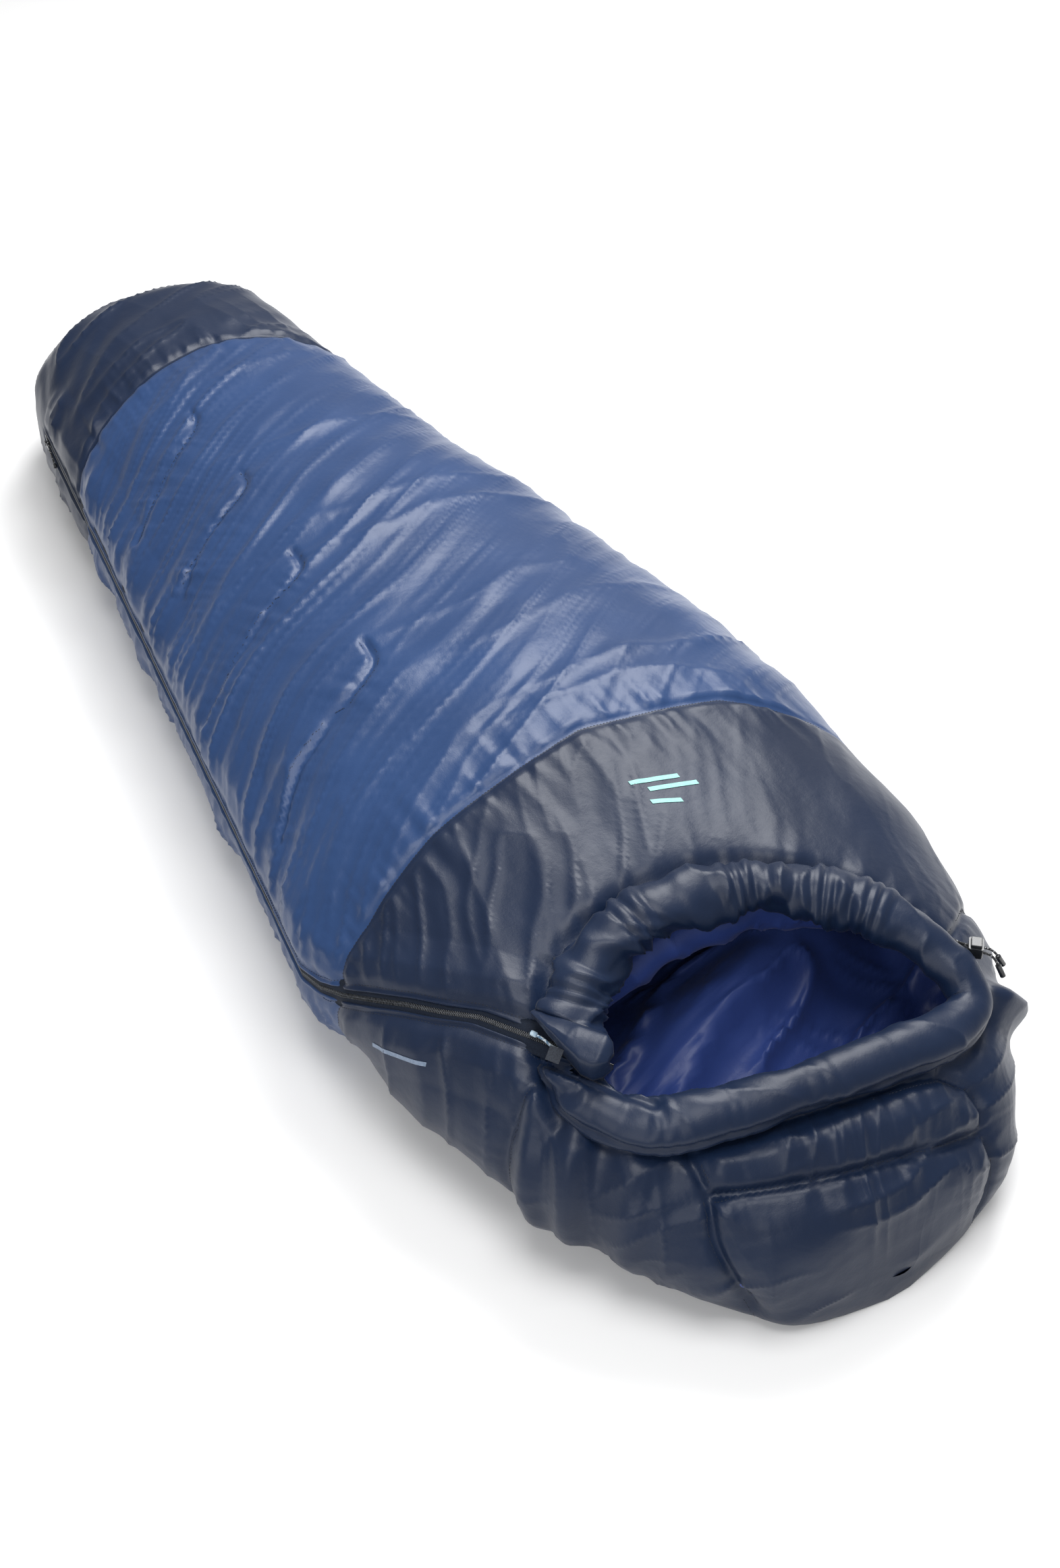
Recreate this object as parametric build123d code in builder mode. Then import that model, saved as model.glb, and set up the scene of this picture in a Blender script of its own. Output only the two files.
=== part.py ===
"""Mummy sleeping bag, zipped shut and lying on its back. Millimetres, +Z up.

The origin is on the floor under the middle of the bag. The foot points along +Y, the hood along -Y,
and the zip runs down the -X side. The wall is three sewn layers: outer cloth, insulation and liner.
"""
from build123d import *
import math
import os

# ---------------------------------------------------------------- overall sizes
BAG_LENGTH = 2100
SHOULDER_WIDTH = 795
FOOT_WIDTH = 474
HOOD_WIDTH = 650
CHEST_HEIGHT = 333
FOOT_HEIGHT = 296
HOOD_HEIGHT = 280

# ---------------------------------------------------------------- wall layers
CLOTH = 0.6
INSULATION = 24
LAYER_GAP = 0.6

# ---------------------------------------------------------------- seams between the panels
FOOT_SEAM_Y = 672
CHEST_SEAM_Y = -400
HOOD_SEAM_Y = -776
SIDE_SEAM_Z = 140
CROWN_LEFT_X = -188
CROWN_RIGHT_X = 146
CROWN_SEAM_Z = 158

# ---------------------------------------------------------------- zip
ZIP_FOOT_Y = 806
ZIP_BEND = ((-440, 4), (-480, 11), (-520, 19), (-560, 26.5), (-598, 32.5))
ZIP_TOP_RUN = ((-634, 38), (-712, 45))
ZIP_PAST_RIM = 70
TAPE_WIDTH = 17
TAPE_THICKNESS = 1.0
TAPE_DEPTH = 1.9
TAPE_CLEARANCE = 0.6
SLOT_PAST_WALL = 14
COIL_GAP = 1.6
COIL_WIDTH = 2.3
COIL_THICKNESS = 2.8
STOP_LENGTH = 5
STOP_CORNER = 0.8

# ---------------------------------------------------------------- zip sliders and their pulls
SLIDER_LENGTH = 13
SLIDER_WIDTH = 10
SLIDER_PLATE = 1.2
SLIDER_CLEARANCE = 0.35
NECK_LENGTH = 4
BRIDGE_HEIGHT = 4.4
BRIDGE_LENGTH = 4
LUG_THICKNESS = 1.1
PIN_RADIUS = 0.8
PIN_CLEARANCE = 0.08
KNUCKLE_RADIUS = 1.7
PULL_LENGTH = 21
PULL_WIDTH = 6.5
PULL_THICKNESS = 1.6
PULL_CORNER = 1.5
PULL_EYE_RADIUS = 1.4
PULL_EYE_FROM_END = 4
SLIDER_CORNER = 3
LUG_SIDE_GAP = 0.5
PIN_ABOVE_MIDDLE = 0.2
HEAD_SLIDER_SETBACK = 20
FOOT_SLIDER_SETBACK = 16
PULL_CORD_RADIUS = 1.6
HEAD_CORD_ROUTE = ((0, -21, 5.3), (0, -29, 5.3), (3, -38, 5.6), (2, -48, 6.3), (-2, -57, 7.0), (-3, -66, 7.4))
FOOT_CORD_ROUTE = ((0, -21, 5.3), (0, -29, 5.3), (-2, -37, 5.5), (-5, -45, 6.0), (-6, -53, 6.4))
KNOB_RADIUS = 3.1
KNOB_LENGTH = 8

# ---------------------------------------------------------------- flap over the zip's top end
FLAP_LENGTH = 100
FLAP_WIDTH = 46
FLAP_THICKNESS = 2.0
FLAP_RISE = 31
FLAP_HINGE_ACROSS = 25
NOTCH_HALF_WIDTH = 22
NOTCH_DEPTH = 8
NOTCH_HEIGHT = 60
NOTCH_HALF_LENGTH = 110
PATCH_SIZE = 16
PATCH_THICKNESS = 1.0

# ---------------------------------------------------------------- face opening
RIM_CENTRE = (-20, -775, 243)
RIM_LENGTH = 430
RIM_WIDTH = 250
RIM_TUBE_RADIUS = 30
RIM_TILT = 12
RIM_CLEARANCE = 1.0
RIM_BORE_CLEARANCE = 0.4
FACE_CUT_BELOW = 85
FACE_CUT_ABOVE = 135
DRAWCORD_RADIUS = 1.5

# ---------------------------------------------------------------- drawcord's lock
LOCK_CENTRE = (245, -840, 227)
LOCK_HEADING = -42
LOCK_LENGTH = 17
LOCK_WIDTH = 19
LOCK_BELOW = 6
LOCK_ABOVE = 9
LOCK_WALL = 2
LOCK_FIT = 0.25
BUTTON_STAND = 4
BUTTON_TRAVEL = 3
STRAND_ROUTE = ((-50, 4, 15), (-31, 4, 8.5), (-13, 4, 0), (14, 4, 0), (23, 5, -6), (28, 6.5, -15))
STRAND_CLEARANCE = 0.4
CORD_END_RADIUS = 3.4
CORD_END_LENGTH = 17
SPRING_RADIUS = 1.6
SPRING_WIRE = 0.3
SPRING_TURNS = 6
SPRING_SEAT = 0.1
TAB_WIDTH = 15
TAB_THICKNESS = 1.4
TAB_LENGTH = 34
TAB_LIFT = 7.5
TAB_ABOVE_BASE = 2
LOCK_CORNER = 2.5
POCKET_CORNER = 1.5
BUTTON_EDGE = 1
STRAND_HOLE_BEHIND = 2
STRAND_HOLE_PAST = 12

# ---------------------------------------------------------------- inner baffles
NECK_BAFFLE_Y = -615
NECK_BAFFLE_LENGTH = 50
NECK_BAFFLE_DEPTH = 52
NECK_BAFFLE_HALF_WIDTH = 200
DRAFT_TUBE_RADIUS = 20
DRAFT_TUBE_END = 60
INSIDE_CLEARANCE = 1.5

os.makedirs("parts", exist_ok=True)
half_length = BAG_LENGTH / 2
fill_outside = CLOTH + LAYER_GAP
fill_inside = fill_outside + INSULATION
liner_outside = fill_inside + LAYER_GAP
wall = liner_outside + CLOTH
ELLIPSE_LOW = 0.42
ELLIPSE_TALL = 0.58


def finish(part, name):
    """Labels one finished piece and writes it."""
    part.label = name
    export_step(part, f"parts/{name}.step")


# ================================================================ the bag's outer shape
# (y, width, height) of the sections, from the hood's end to the foot's end, straight between them
STATIONS = [
    (-half_length, 0.36 * HOOD_WIDTH, 0.45 * HOOD_HEIGHT),
    (-0.981 * half_length, 0.52 * HOOD_WIDTH, 0.59 * HOOD_HEIGHT),
    (-0.943 * half_length, 0.68 * HOOD_WIDTH, 0.74 * HOOD_HEIGHT),
    (-0.876 * half_length, 0.86 * HOOD_WIDTH, 0.89 * HOOD_HEIGHT),
    (-0.762 * half_length, HOOD_WIDTH, HOOD_HEIGHT),
    (-0.571 * half_length, 0.95 * SHOULDER_WIDTH, 0.92 * CHEST_HEIGHT),
    (CHEST_SEAM_Y, SHOULDER_WIDTH, CHEST_HEIGHT),
    (0.785 * half_length, FOOT_WIDTH, FOOT_HEIGHT),
    (0.886 * half_length, 0.93 * FOOT_WIDTH, 0.95 * FOOT_HEIGHT),
    (0.947 * half_length, 0.80 * FOOT_WIDTH, 0.83 * FOOT_HEIGHT),
    (0.983 * half_length, 0.62 * FOOT_WIDTH, 0.66 * FOOT_HEIGHT),
    (half_length, 0.42 * FOOT_WIDTH, 0.48 * FOOT_HEIGHT),
]


def shrink_for(inset):
    """How much shorter the bag's shape gets when it is taken in by inset."""
    return (half_length - inset) / half_length


def section_at(y, inset=0):
    """Half width, middle height and half height of the ellipse at y, taken in by inset."""
    outer_y = y / shrink_for(inset)
    for (y0, w0, h0), (y1, w1, h1) in zip(STATIONS, STATIONS[1:]):
        if outer_y <= y1 + 1e-6:
            t = (outer_y - y0) / (y1 - y0)
            width = w0 + t * (w1 - w0)
            height = h0 + t * (h1 - h0)
            return width / 2 - inset, ELLIPSE_LOW * height, ELLIPSE_TALL * height - inset
    raise ValueError(f"no section at y = {y}")


def on_bag(y, angle):
    """Point of the bag's surface on the zip's side at y, angle degrees above its widest line."""
    half_width, middle, half_height = section_at(y)
    turn = math.radians(angle)
    return Vector(-half_width * math.cos(turn), y, middle + half_height * math.sin(turn))


def solid_bag(y_from, y_to, inset):
    """The bag's solid shape between two sections, taken in by inset, flat where it lies."""
    first = max(y_from, inset - half_length)
    last = min(y_to, half_length - inset)
    places = [y * shrink_for(inset) for y, _, _ in STATIONS]
    inner = [place for place in places if first + 0.1 < place < last - 0.1]
    with BuildPart() as solid:
        for place in [first] + inner + [last]:
            half_width, middle, half_height = section_at(place, inset)
            with BuildSketch(Plane.XZ.offset(-place)):
                with Locations((0, middle)):
                    Ellipse(half_width, half_height)
        loft(ruled=True)
        split(bisect_by=Plane.XY.offset(inset), keep=Keep.TOP)
    return solid.part


def layer(y_from, y_to, outside, inside):
    """One layer of the wall between two sections, from one inset to a deeper one."""
    with BuildPart() as ring:
        add(solid_bag(y_from, y_to, outside))
        add(solid_bag(y_from, y_to, inside), mode=Mode.SUBTRACT)
    return ring.part


# ================================================================ the zip's line
def frame_on_bag(y, angle, along):
    """Plane on the bag's surface: x towards the chest, y outward, z along the zip to the head."""
    step = 1.0
    up = on_bag(y, angle + step) - on_bag(y, angle - step)
    back = on_bag(y + step, angle) - on_bag(y - step, angle)
    outward = up.cross(back).normalized()
    along = along.normalized()
    across = outward.cross(along).normalized()
    return Plane(origin=on_bag(y, angle), x_dir=across, z_dir=along)


def side_angle(y):
    """Angle at which the side seam's height meets the section at y."""
    _, middle, half_height = section_at(y)
    return math.degrees(math.asin((SIDE_SEAM_Z - middle) / half_height))


zip_foot = on_bag(ZIP_FOOT_Y, side_angle(ZIP_FOOT_Y))
zip_shoulder = on_bag(CHEST_SEAM_Y, side_angle(CHEST_SEAM_Y))
side_run = (zip_shoulder - zip_foot).normalized()
top_start = on_bag(*ZIP_TOP_RUN[0])
top_run = (on_bag(*ZIP_TOP_RUN[1]) - top_start).normalized()
top_end = on_bag(*ZIP_TOP_RUN[1]) + top_run * ZIP_PAST_RIM

foot_frame = Plane(origin=zip_foot, x_dir=(0, 0, 1), z_dir=side_run)
shoulder_frame = Plane(origin=zip_shoulder, x_dir=(0, 0, 1), z_dir=side_run)
bend_points = [zip_shoulder] + [on_bag(y, angle) for y, angle in ZIP_BEND] + [top_start]
bend_frames = [
    frame_on_bag(y, angle, after - before)
    for (y, angle), before, after in zip(ZIP_BEND, bend_points, bend_points[2:])
]
top_frame = frame_on_bag(*ZIP_TOP_RUN[0], top_run)
top_end_frame = Plane(origin=top_end, x_dir=top_frame.x_dir, z_dir=top_run)
zip_frames = [foot_frame, shoulder_frame] + bend_frames + [top_frame, top_end_frame]


def strip(frames, across_from, across_to, out_from, out_to):
    """A strip that follows the zip's line, between two distances across it and outward."""
    with BuildPart() as ribbon:
        for frame in frames:
            with BuildSketch(frame):
                with Locations(((across_from + across_to) / 2, (out_from + out_to) / 2)):
                    Rectangle(across_to - across_from, out_to - out_from)
        loft(ruled=True)
    return ribbon.part


def lengthened(frames, extra):
    """The same frames with both ends moved out along the zip."""
    first = Plane(frames[0].origin - frames[0].z_dir * extra, frames[0].x_dir, frames[0].z_dir)
    last = Plane(frames[-1].origin + frames[-1].z_dir * extra, frames[-1].x_dir, frames[-1].z_dir)
    return [first] + frames[1:-1] + [last]


slot_frames = lengthened(zip_frames, STOP_LENGTH + TAPE_CLEARANCE)
slot_reach = TAPE_WIDTH + TAPE_CLEARANCE
wall_slot = strip(slot_frames, -slot_reach, slot_reach, -wall - SLOT_PAST_WALL, SLOT_PAST_WALL)

# ================================================================ the face opening's cut
rim_plane = Plane(
    origin=RIM_CENTRE,
    x_dir=(1, 0, 0),
    z_dir=(0, -math.sin(math.radians(RIM_TILT)), math.cos(math.radians(RIM_TILT))),
)


def rim_ring(radius, bore=0):
    """A closed tube round the face opening, hollow when it has a bore."""
    turn = RIM_WIDTH / 2
    straight = RIM_LENGTH / 2 - turn
    with BuildPart() as ring:
        with BuildLine(rim_plane):
            Line((-straight, turn), (straight, turn))
            ThreePointArc((straight, turn), (straight + turn, 0), (straight, -turn))
            Line((straight, -turn), (-straight, -turn))
            ThreePointArc((-straight, -turn), (-straight - turn, 0), (-straight, turn))
        start = rim_plane.from_local_coords((-straight, turn, 0))
        with BuildSketch(Plane(origin=start, x_dir=rim_plane.y_dir, z_dir=rim_plane.x_dir)):
            Circle(radius)
            if bore:
                Circle(bore, mode=Mode.SUBTRACT)
        sweep()
    return ring.part


with BuildPart() as face_cut:
    with BuildSketch(rim_plane.offset(-FACE_CUT_BELOW)):
        SlotOverall(RIM_LENGTH, RIM_WIDTH)
    extrude(amount=FACE_CUT_BELOW + FACE_CUT_ABOVE)
    add(rim_ring(RIM_TUBE_RADIUS + RIM_CLEARANCE))

# ================================================================ wall panels
above_side_seam = Plane.XY.offset(SIDE_SEAM_Z)


def panel(name, source, cuts, *trims):
    """A piece of one wall layer: trimmed by planes, each kept on its upper side, less the cuts."""
    with BuildPart() as piece:
        add(source)
        for plane in trims:
            split(bisect_by=plane, keep=Keep.TOP)
        for cut in cuts:
            add(cut, mode=Mode.SUBTRACT)
    finish(piece.part, name)
    return piece.part


def wall_layer(prefix, outside, inside):
    """Makes the foot, body and chest pieces of one layer, and returns its uncut hood."""
    body = layer(CHEST_SEAM_Y, FOOT_SEAM_Y, outside, inside)
    panel(f"{prefix}_foot", layer(FOOT_SEAM_Y, half_length, outside, inside), [wall_slot])
    panel(f"{prefix}_body_top", body, [wall_slot], above_side_seam)
    panel(f"{prefix}_body_bottom", body, [wall_slot], -above_side_seam)
    chest = layer(HOOD_SEAM_Y, CHEST_SEAM_Y, outside, inside)
    panel(f"{prefix}_chest", chest, [wall_slot, face_cut.part])
    return layer(-half_length, HOOD_SEAM_Y, outside, inside)


shell_hood = wall_layer("shell", 0, CLOTH)
crown_left = Plane.YZ.offset(CROWN_LEFT_X)
crown_right = Plane.YZ.offset(CROWN_RIGHT_X)
crown_seam = Plane.XY.offset(CROWN_SEAM_Z)
hood_cuts = [wall_slot, face_cut.part]
panel("shell_hood_left", shell_hood, hood_cuts, -crown_left)
panel("shell_hood_right", shell_hood, hood_cuts, crown_right)
panel("shell_crown_upper", shell_hood, hood_cuts, crown_left, -crown_right, crown_seam)
panel("shell_crown_lower", shell_hood, hood_cuts, crown_left, -crown_right, -crown_seam)

fill_hood = wall_layer("fill", fill_outside, fill_inside)
panel("fill_hood_left", fill_hood, hood_cuts, -Plane.YZ)
panel("fill_hood_right", fill_hood, hood_cuts, Plane.YZ)

liner_hood = wall_layer("liner", liner_outside, wall)
panel("liner_hood", liner_hood, hood_cuts)

# ================================================================ zip tapes, coils and stops
coil_inner = COIL_GAP / 2
coil_outer = coil_inner + COIL_WIDTH
coil_low = -TAPE_DEPTH - COIL_THICKNESS / 2
coil_high = -TAPE_DEPTH + COIL_THICKNESS / 2
tape_low = -TAPE_DEPTH - TAPE_THICKNESS / 2
tape_high = -TAPE_DEPTH + TAPE_THICKNESS / 2
for name, side in (("upper", 1), ("lower", -1)):
    tape_edges = sorted((side * coil_outer, side * TAPE_WIDTH))
    coil_edges = sorted((side * coil_inner, side * coil_outer))
    finish(strip(zip_frames, *tape_edges, tape_low, tape_high), f"zip_tape_{name}")
    finish(strip(zip_frames, *coil_edges, coil_low, coil_high), f"zip_coil_{name}")


def zip_stop(frame, away, name):
    """Moulded stop that closes one end of the coils."""
    with BuildPart() as stop:
        with BuildSketch(frame):
            with Locations((0, -TAPE_DEPTH)):
                RectangleRounded(2 * coil_outer, COIL_THICKNESS, STOP_CORNER)
        extrude(amount=away * STOP_LENGTH)
    finish(stop.part, name)


zip_stop(foot_frame, -1, "zip_bottom_stop")
zip_stop(top_end_frame, 1, "zip_top_stop")

# ================================================================ sliders
plate_gap = COIL_THICKNESS / 2 + SLIDER_CLEARANCE
plate_top = plate_gap + SLIDER_PLATE
pin_height = plate_top + BRIDGE_HEIGHT / 2 + PIN_ABOVE_MIDDLE
lug_inner = PULL_THICKNESS + LUG_SIDE_GAP
neck_width = COIL_GAP - 2 * SLIDER_CLEARANCE


def slider_plane(frame, setback, heading):
    """A slider's own plane: x across, y towards its neck, z outward, centred in the coils."""
    along = frame.z_dir * heading
    origin = frame.origin - along * setback - frame.y_dir * TAPE_DEPTH
    return Plane(origin=origin, x_dir=frame.x_dir * -heading, z_dir=frame.y_dir)


def slider(plane, name):
    """Two plates on either side of the coils, joined by a neck, with lugs and a pin for the pull."""
    with BuildPart() as body:
        for low in (plate_gap, -plate_top):
            with BuildSketch(plane.offset(low)):
                RectangleRounded(SLIDER_WIDTH, SLIDER_LENGTH, SLIDER_CORNER)
            extrude(amount=SLIDER_PLATE)
        with BuildSketch(plane.offset(-plate_top)):
            with Locations((0, SLIDER_LENGTH / 2 - NECK_LENGTH)):
                Rectangle(neck_width, NECK_LENGTH)
        extrude(amount=2 * plate_top)
        with BuildSketch(plane.offset(plate_top)):
            with Locations((lug_inner + LUG_THICKNESS / 2, 0), (-lug_inner - LUG_THICKNESS / 2, 0)):
                Rectangle(LUG_THICKNESS, BRIDGE_LENGTH)
        extrude(amount=BRIDGE_HEIGHT)
        pin_end = plane.from_local_coords((-lug_inner - LUG_THICKNESS, 0, pin_height))
        with BuildSketch(Plane(origin=pin_end, x_dir=plane.y_dir, z_dir=plane.x_dir)):
            Circle(PIN_RADIUS)
        extrude(amount=2 * (lug_inner + LUG_THICKNESS))
    finish(body.part, name)


def pull_tab(plane, name):
    """Tab that hangs on a slider's pin and lies along the zip, away from the neck."""
    half_knuckle = lug_inner - 0.3
    with BuildPart() as tab:
        knuckle_end = plane.from_local_coords((-half_knuckle, 0, pin_height))
        knuckle = Plane(origin=knuckle_end, x_dir=plane.y_dir, z_dir=plane.x_dir)
        with BuildSketch(knuckle):
            Circle(KNUCKLE_RADIUS)
        extrude(amount=2 * half_knuckle)
        with BuildSketch(plane.offset(pin_height - PULL_THICKNESS / 2)):
            with Locations((0, -BRIDGE_LENGTH / 2 - 1)):
                Rectangle(2 * half_knuckle, BRIDGE_LENGTH + 2)
            with Locations((0, -(PULL_LENGTH + BRIDGE_LENGTH + 1) / 2)):
                RectangleRounded(PULL_WIDTH, PULL_LENGTH - BRIDGE_LENGTH - 1, PULL_CORNER)
            with Locations((0, PULL_EYE_FROM_END - PULL_LENGTH)):
                Circle(PULL_EYE_RADIUS, mode=Mode.SUBTRACT)
        extrude(amount=PULL_THICKNESS)
        with BuildSketch(knuckle):
            Circle(PIN_RADIUS + PIN_CLEARANCE)
        extrude(amount=2 * half_knuckle, mode=Mode.SUBTRACT)
    finish(tab.part, name)


def corner_radii(points):
    """The largest even-handed radius at each inner point of a route."""
    radii = []
    for before, corner, after in zip(points, points[1:], points[2:]):
        arriving = Vector(*corner) - Vector(*before)
        leaving = Vector(*after) - Vector(*corner)
        half_turn = math.radians(arriving.get_angle(leaving)) / 2
        radii.append(0.45 * min(arriving.length, leaving.length) / math.tan(half_turn))
    return radii


def cord(plane, route, radius, name):
    """A cord along a route given in a plane's own coordinates."""
    points = [plane.from_local_coords(Vector(*point)) for point in route]
    radii = corner_radii(points)
    with BuildPart() as tube:
        with BuildLine() as path:
            FilletPolyline(*points, radius=radii)
        with BuildSketch(Plane(origin=points[0], z_dir=points[1] - points[0])):
            Circle(radius)
        sweep()
    length = sum(edge.length for edge in path.edges())
    print(f"{name}: {length:.1f} long, radii", [round(r, 1) for r in radii])
    print(f"    volume {tube.part.volume:.1f}, section times length {math.pi * radius**2 * length:.1f}")
    finish(tube.part, name)


def cord_knob(plane, route, name):
    """Moulded end on a cord, where its route stops."""
    start = plane.from_local_coords(Vector(*route[-1]))
    along = start - plane.from_local_coords(Vector(*route[-2]))
    with BuildPart() as knob:
        with BuildSketch(Plane(origin=start, z_dir=along)):
            Circle(KNOB_RADIUS)
        extrude(amount=KNOB_LENGTH)
        fillet(knob.edges(), radius=0.45 * KNOB_RADIUS)
    finish(knob.part, name)


head_plane = slider_plane(top_end_frame, HEAD_SLIDER_SETBACK, 1)
foot_plane = slider_plane(foot_frame, FOOT_SLIDER_SETBACK, -1)
for name, plane, route in (("head", head_plane, HEAD_CORD_ROUTE), ("foot", foot_plane, FOOT_CORD_ROUTE)):
    slider(plane, f"{name}_slider")
    pull_tab(plane, f"{name}_pull_tab")
    cord(plane, route, PULL_CORD_RADIUS, f"{name}_pull_cord")
    cord_knob(plane, route, f"{name}_pull_knob")

# ================================================================ flap over the zip's top end
flap_plane = Plane(
    origin=top_end - top_run * FLAP_LENGTH + top_frame.y_dir * FLAP_RISE,
    x_dir=top_frame.x_dir,
    z_dir=top_run,
)
flap_edge = FLAP_HINGE_ACROSS - FLAP_WIDTH
with BuildPart() as garage_flap:
    with BuildSketch(flap_plane):
        with Locations(((FLAP_HINGE_ACROSS + flap_edge) / 2, FLAP_THICKNESS / 2)):
            Rectangle(FLAP_WIDTH, FLAP_THICKNESS)
        with Locations((FLAP_HINGE_ACROSS, FLAP_THICKNESS / 2)):
            Circle(FLAP_THICKNESS / 2)
    extrude(amount=FLAP_LENGTH)
finish(garage_flap.part, "garage_flap")
patch_place = flap_plane.offset(FLAP_LENGTH / 2 - PATCH_SIZE / 2)
with BuildPart() as hook_patch:
    with BuildSketch(patch_place):
        with Locations((flap_edge + PATCH_SIZE / 2 + 2, -PATCH_THICKNESS / 2)):
            Rectangle(PATCH_SIZE, PATCH_THICKNESS)
    extrude(amount=PATCH_SIZE)
finish(hook_patch.part, "flap_hook_patch")

# ================================================================ rim round the face opening
notch_frames = [
    Plane(top_end + top_run * side * NOTCH_HALF_LENGTH, top_frame.x_dir, top_run) for side in (-1, 1)
]
notch = strip(notch_frames, -NOTCH_HALF_WIDTH, NOTCH_HALF_WIDTH, -NOTCH_DEPTH, NOTCH_HEIGHT)
lock_plane = Plane(
    origin=LOCK_CENTRE,
    x_dir=(math.cos(math.radians(LOCK_HEADING)), math.sin(math.radians(LOCK_HEADING)), 0),
    z_dir=(0, 0, 1),
)
strand_routes = {
    "left": STRAND_ROUTE,
    "right": [(x, -y, z) for x, y, z in STRAND_ROUTE],
}
with BuildPart() as strand_holes:
    for route in strand_routes.values():
        inner = lock_plane.from_local_coords(Vector(*route[0]))
        outer = lock_plane.from_local_coords(Vector(*route[1]))
        along = (outer - inner).normalized()
        with BuildSketch(Plane(origin=inner - along * STRAND_HOLE_BEHIND, z_dir=along)):
            Circle(DRAWCORD_RADIUS + STRAND_CLEARANCE)
        extrude(amount=(outer - inner).length + STRAND_HOLE_PAST)

rim_tube = rim_ring(RIM_TUBE_RADIUS, DRAWCORD_RADIUS + RIM_BORE_CLEARANCE)
rim_middle = Plane(origin=rim_plane.origin, x_dir=rim_plane.x_dir, z_dir=rim_plane.y_dir)
rim_cuts = [notch, strand_holes.part]
panel("face_rim_upper", rim_tube, rim_cuts, rim_middle)
panel("face_rim_lower", rim_tube, rim_cuts, -rim_middle)
panel("hood_drawcord", rim_ring(DRAWCORD_RADIUS), [notch])

# ================================================================ drawcord ends and their lock
for side, route in strand_routes.items():
    cord(lock_plane, route, DRAWCORD_RADIUS, f"drawcord_strand_{side}")

with BuildPart() as cord_ends:
    for route in strand_routes.values():
        start = lock_plane.from_local_coords(Vector(*route[-1]))
        along = start - lock_plane.from_local_coords(Vector(*route[-2]))
        with BuildSketch(Plane(origin=start, z_dir=along)):
            Circle(CORD_END_RADIUS)
        extrude(amount=CORD_END_LENGTH)
finish(cord_ends.part, "cord_ends")

pocket_length = LOCK_LENGTH - 2 * LOCK_WALL
pocket_width = LOCK_WIDTH - 2 * LOCK_WALL
pocket_floor = LOCK_WALL - LOCK_BELOW
strand_side = STRAND_ROUTE[2][1]
lock_end = Plane(
    origin=lock_plane.from_local_coords((-LOCK_LENGTH / 2, 0, 0)),
    x_dir=lock_plane.y_dir,
    z_dir=lock_plane.x_dir,
)
with BuildPart() as lock_body:
    with BuildSketch(lock_plane.offset(-LOCK_BELOW)):
        RectangleRounded(LOCK_LENGTH, LOCK_WIDTH, LOCK_CORNER)
    extrude(amount=LOCK_BELOW + LOCK_ABOVE)
    with BuildSketch(lock_plane.offset(pocket_floor)):
        RectangleRounded(pocket_length, pocket_width, POCKET_CORNER)
    extrude(amount=LOCK_ABOVE - pocket_floor, mode=Mode.SUBTRACT)
    with BuildSketch(lock_end):
        with Locations((strand_side, 0), (-strand_side, 0)):
            Circle(DRAWCORD_RADIUS + STRAND_CLEARANCE)
    extrude(amount=LOCK_LENGTH, mode=Mode.SUBTRACT)
finish(lock_body.part, "cord_lock_body")

button_floor = DRAWCORD_RADIUS + STRAND_CLEARANCE + BUTTON_TRAVEL
with BuildPart() as lock_button:
    with BuildSketch(lock_plane.offset(button_floor)):
        RectangleRounded(pocket_length - 2 * LOCK_FIT, pocket_width - 2 * LOCK_FIT, POCKET_CORNER)
    extrude(amount=LOCK_ABOVE + BUTTON_STAND - button_floor)
    fillet(lock_button.faces().sort_by(Axis.Z)[-1].edges(), radius=BUTTON_EDGE)
finish(lock_button.part, "cord_lock_button")

spring_foot = pocket_floor + SPRING_WIRE + SPRING_SEAT
spring_height = button_floor - pocket_floor - 2 * (SPRING_WIRE + SPRING_SEAT)
with BuildPart() as lock_spring:
    with BuildLine(lock_plane.offset(spring_foot)):
        coil = Helix(pitch=spring_height / SPRING_TURNS, height=spring_height, radius=SPRING_RADIUS)
    with BuildSketch(Plane(origin=coil @ 0, z_dir=coil % 0)):
        Circle(SPRING_WIRE)
    sweep(is_frenet=True)
finish(lock_spring.part, "cord_lock_spring")

tab_rise = STRAND_ROUTE[1][2] - STRAND_ROUTE[2][2]
tab_foot = lock_plane.from_local_coords((-LOCK_LENGTH / 2, 0, TAB_ABOVE_BASE - LOCK_BELOW))
tab_top = lock_plane.from_local_coords((-LOCK_LENGTH / 2 - TAB_LENGTH, 0, tab_rise + TAB_LIFT - LOCK_BELOW))
with BuildPart() as lock_tab:
    with BuildSketch(Plane(origin=tab_foot, x_dir=lock_plane.y_dir, z_dir=tab_top - tab_foot)):
        Rectangle(TAB_WIDTH, TAB_THICKNESS)
    extrude(amount=(tab_top - tab_foot).length)
    add(rim_ring(RIM_TUBE_RADIUS), mode=Mode.SUBTRACT)
    add(lock_body.part, mode=Mode.SUBTRACT)
finish(lock_tab.part, "cord_lock_tab")

# ================================================================ inner baffles
inside = wall + INSIDE_CLEARANCE
with BuildPart() as neck_baffle:
    add(solid_bag(NECK_BAFFLE_Y, NECK_BAFFLE_Y + NECK_BAFFLE_LENGTH, inside))
    add(
        solid_bag(NECK_BAFFLE_Y, NECK_BAFFLE_Y + NECK_BAFFLE_LENGTH, inside + NECK_BAFFLE_DEPTH),
        mode=Mode.SUBTRACT,
    )
    split(bisect_by=Plane.YZ.offset(-NECK_BAFFLE_HALF_WIDTH), keep=Keep.TOP)
    split(bisect_by=Plane.YZ.offset(NECK_BAFFLE_HALF_WIDTH), keep=Keep.BOTTOM)
    split(bisect_by=above_side_seam, keep=Keep.TOP)
finish(neck_baffle.part, "neck_baffle")

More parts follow.
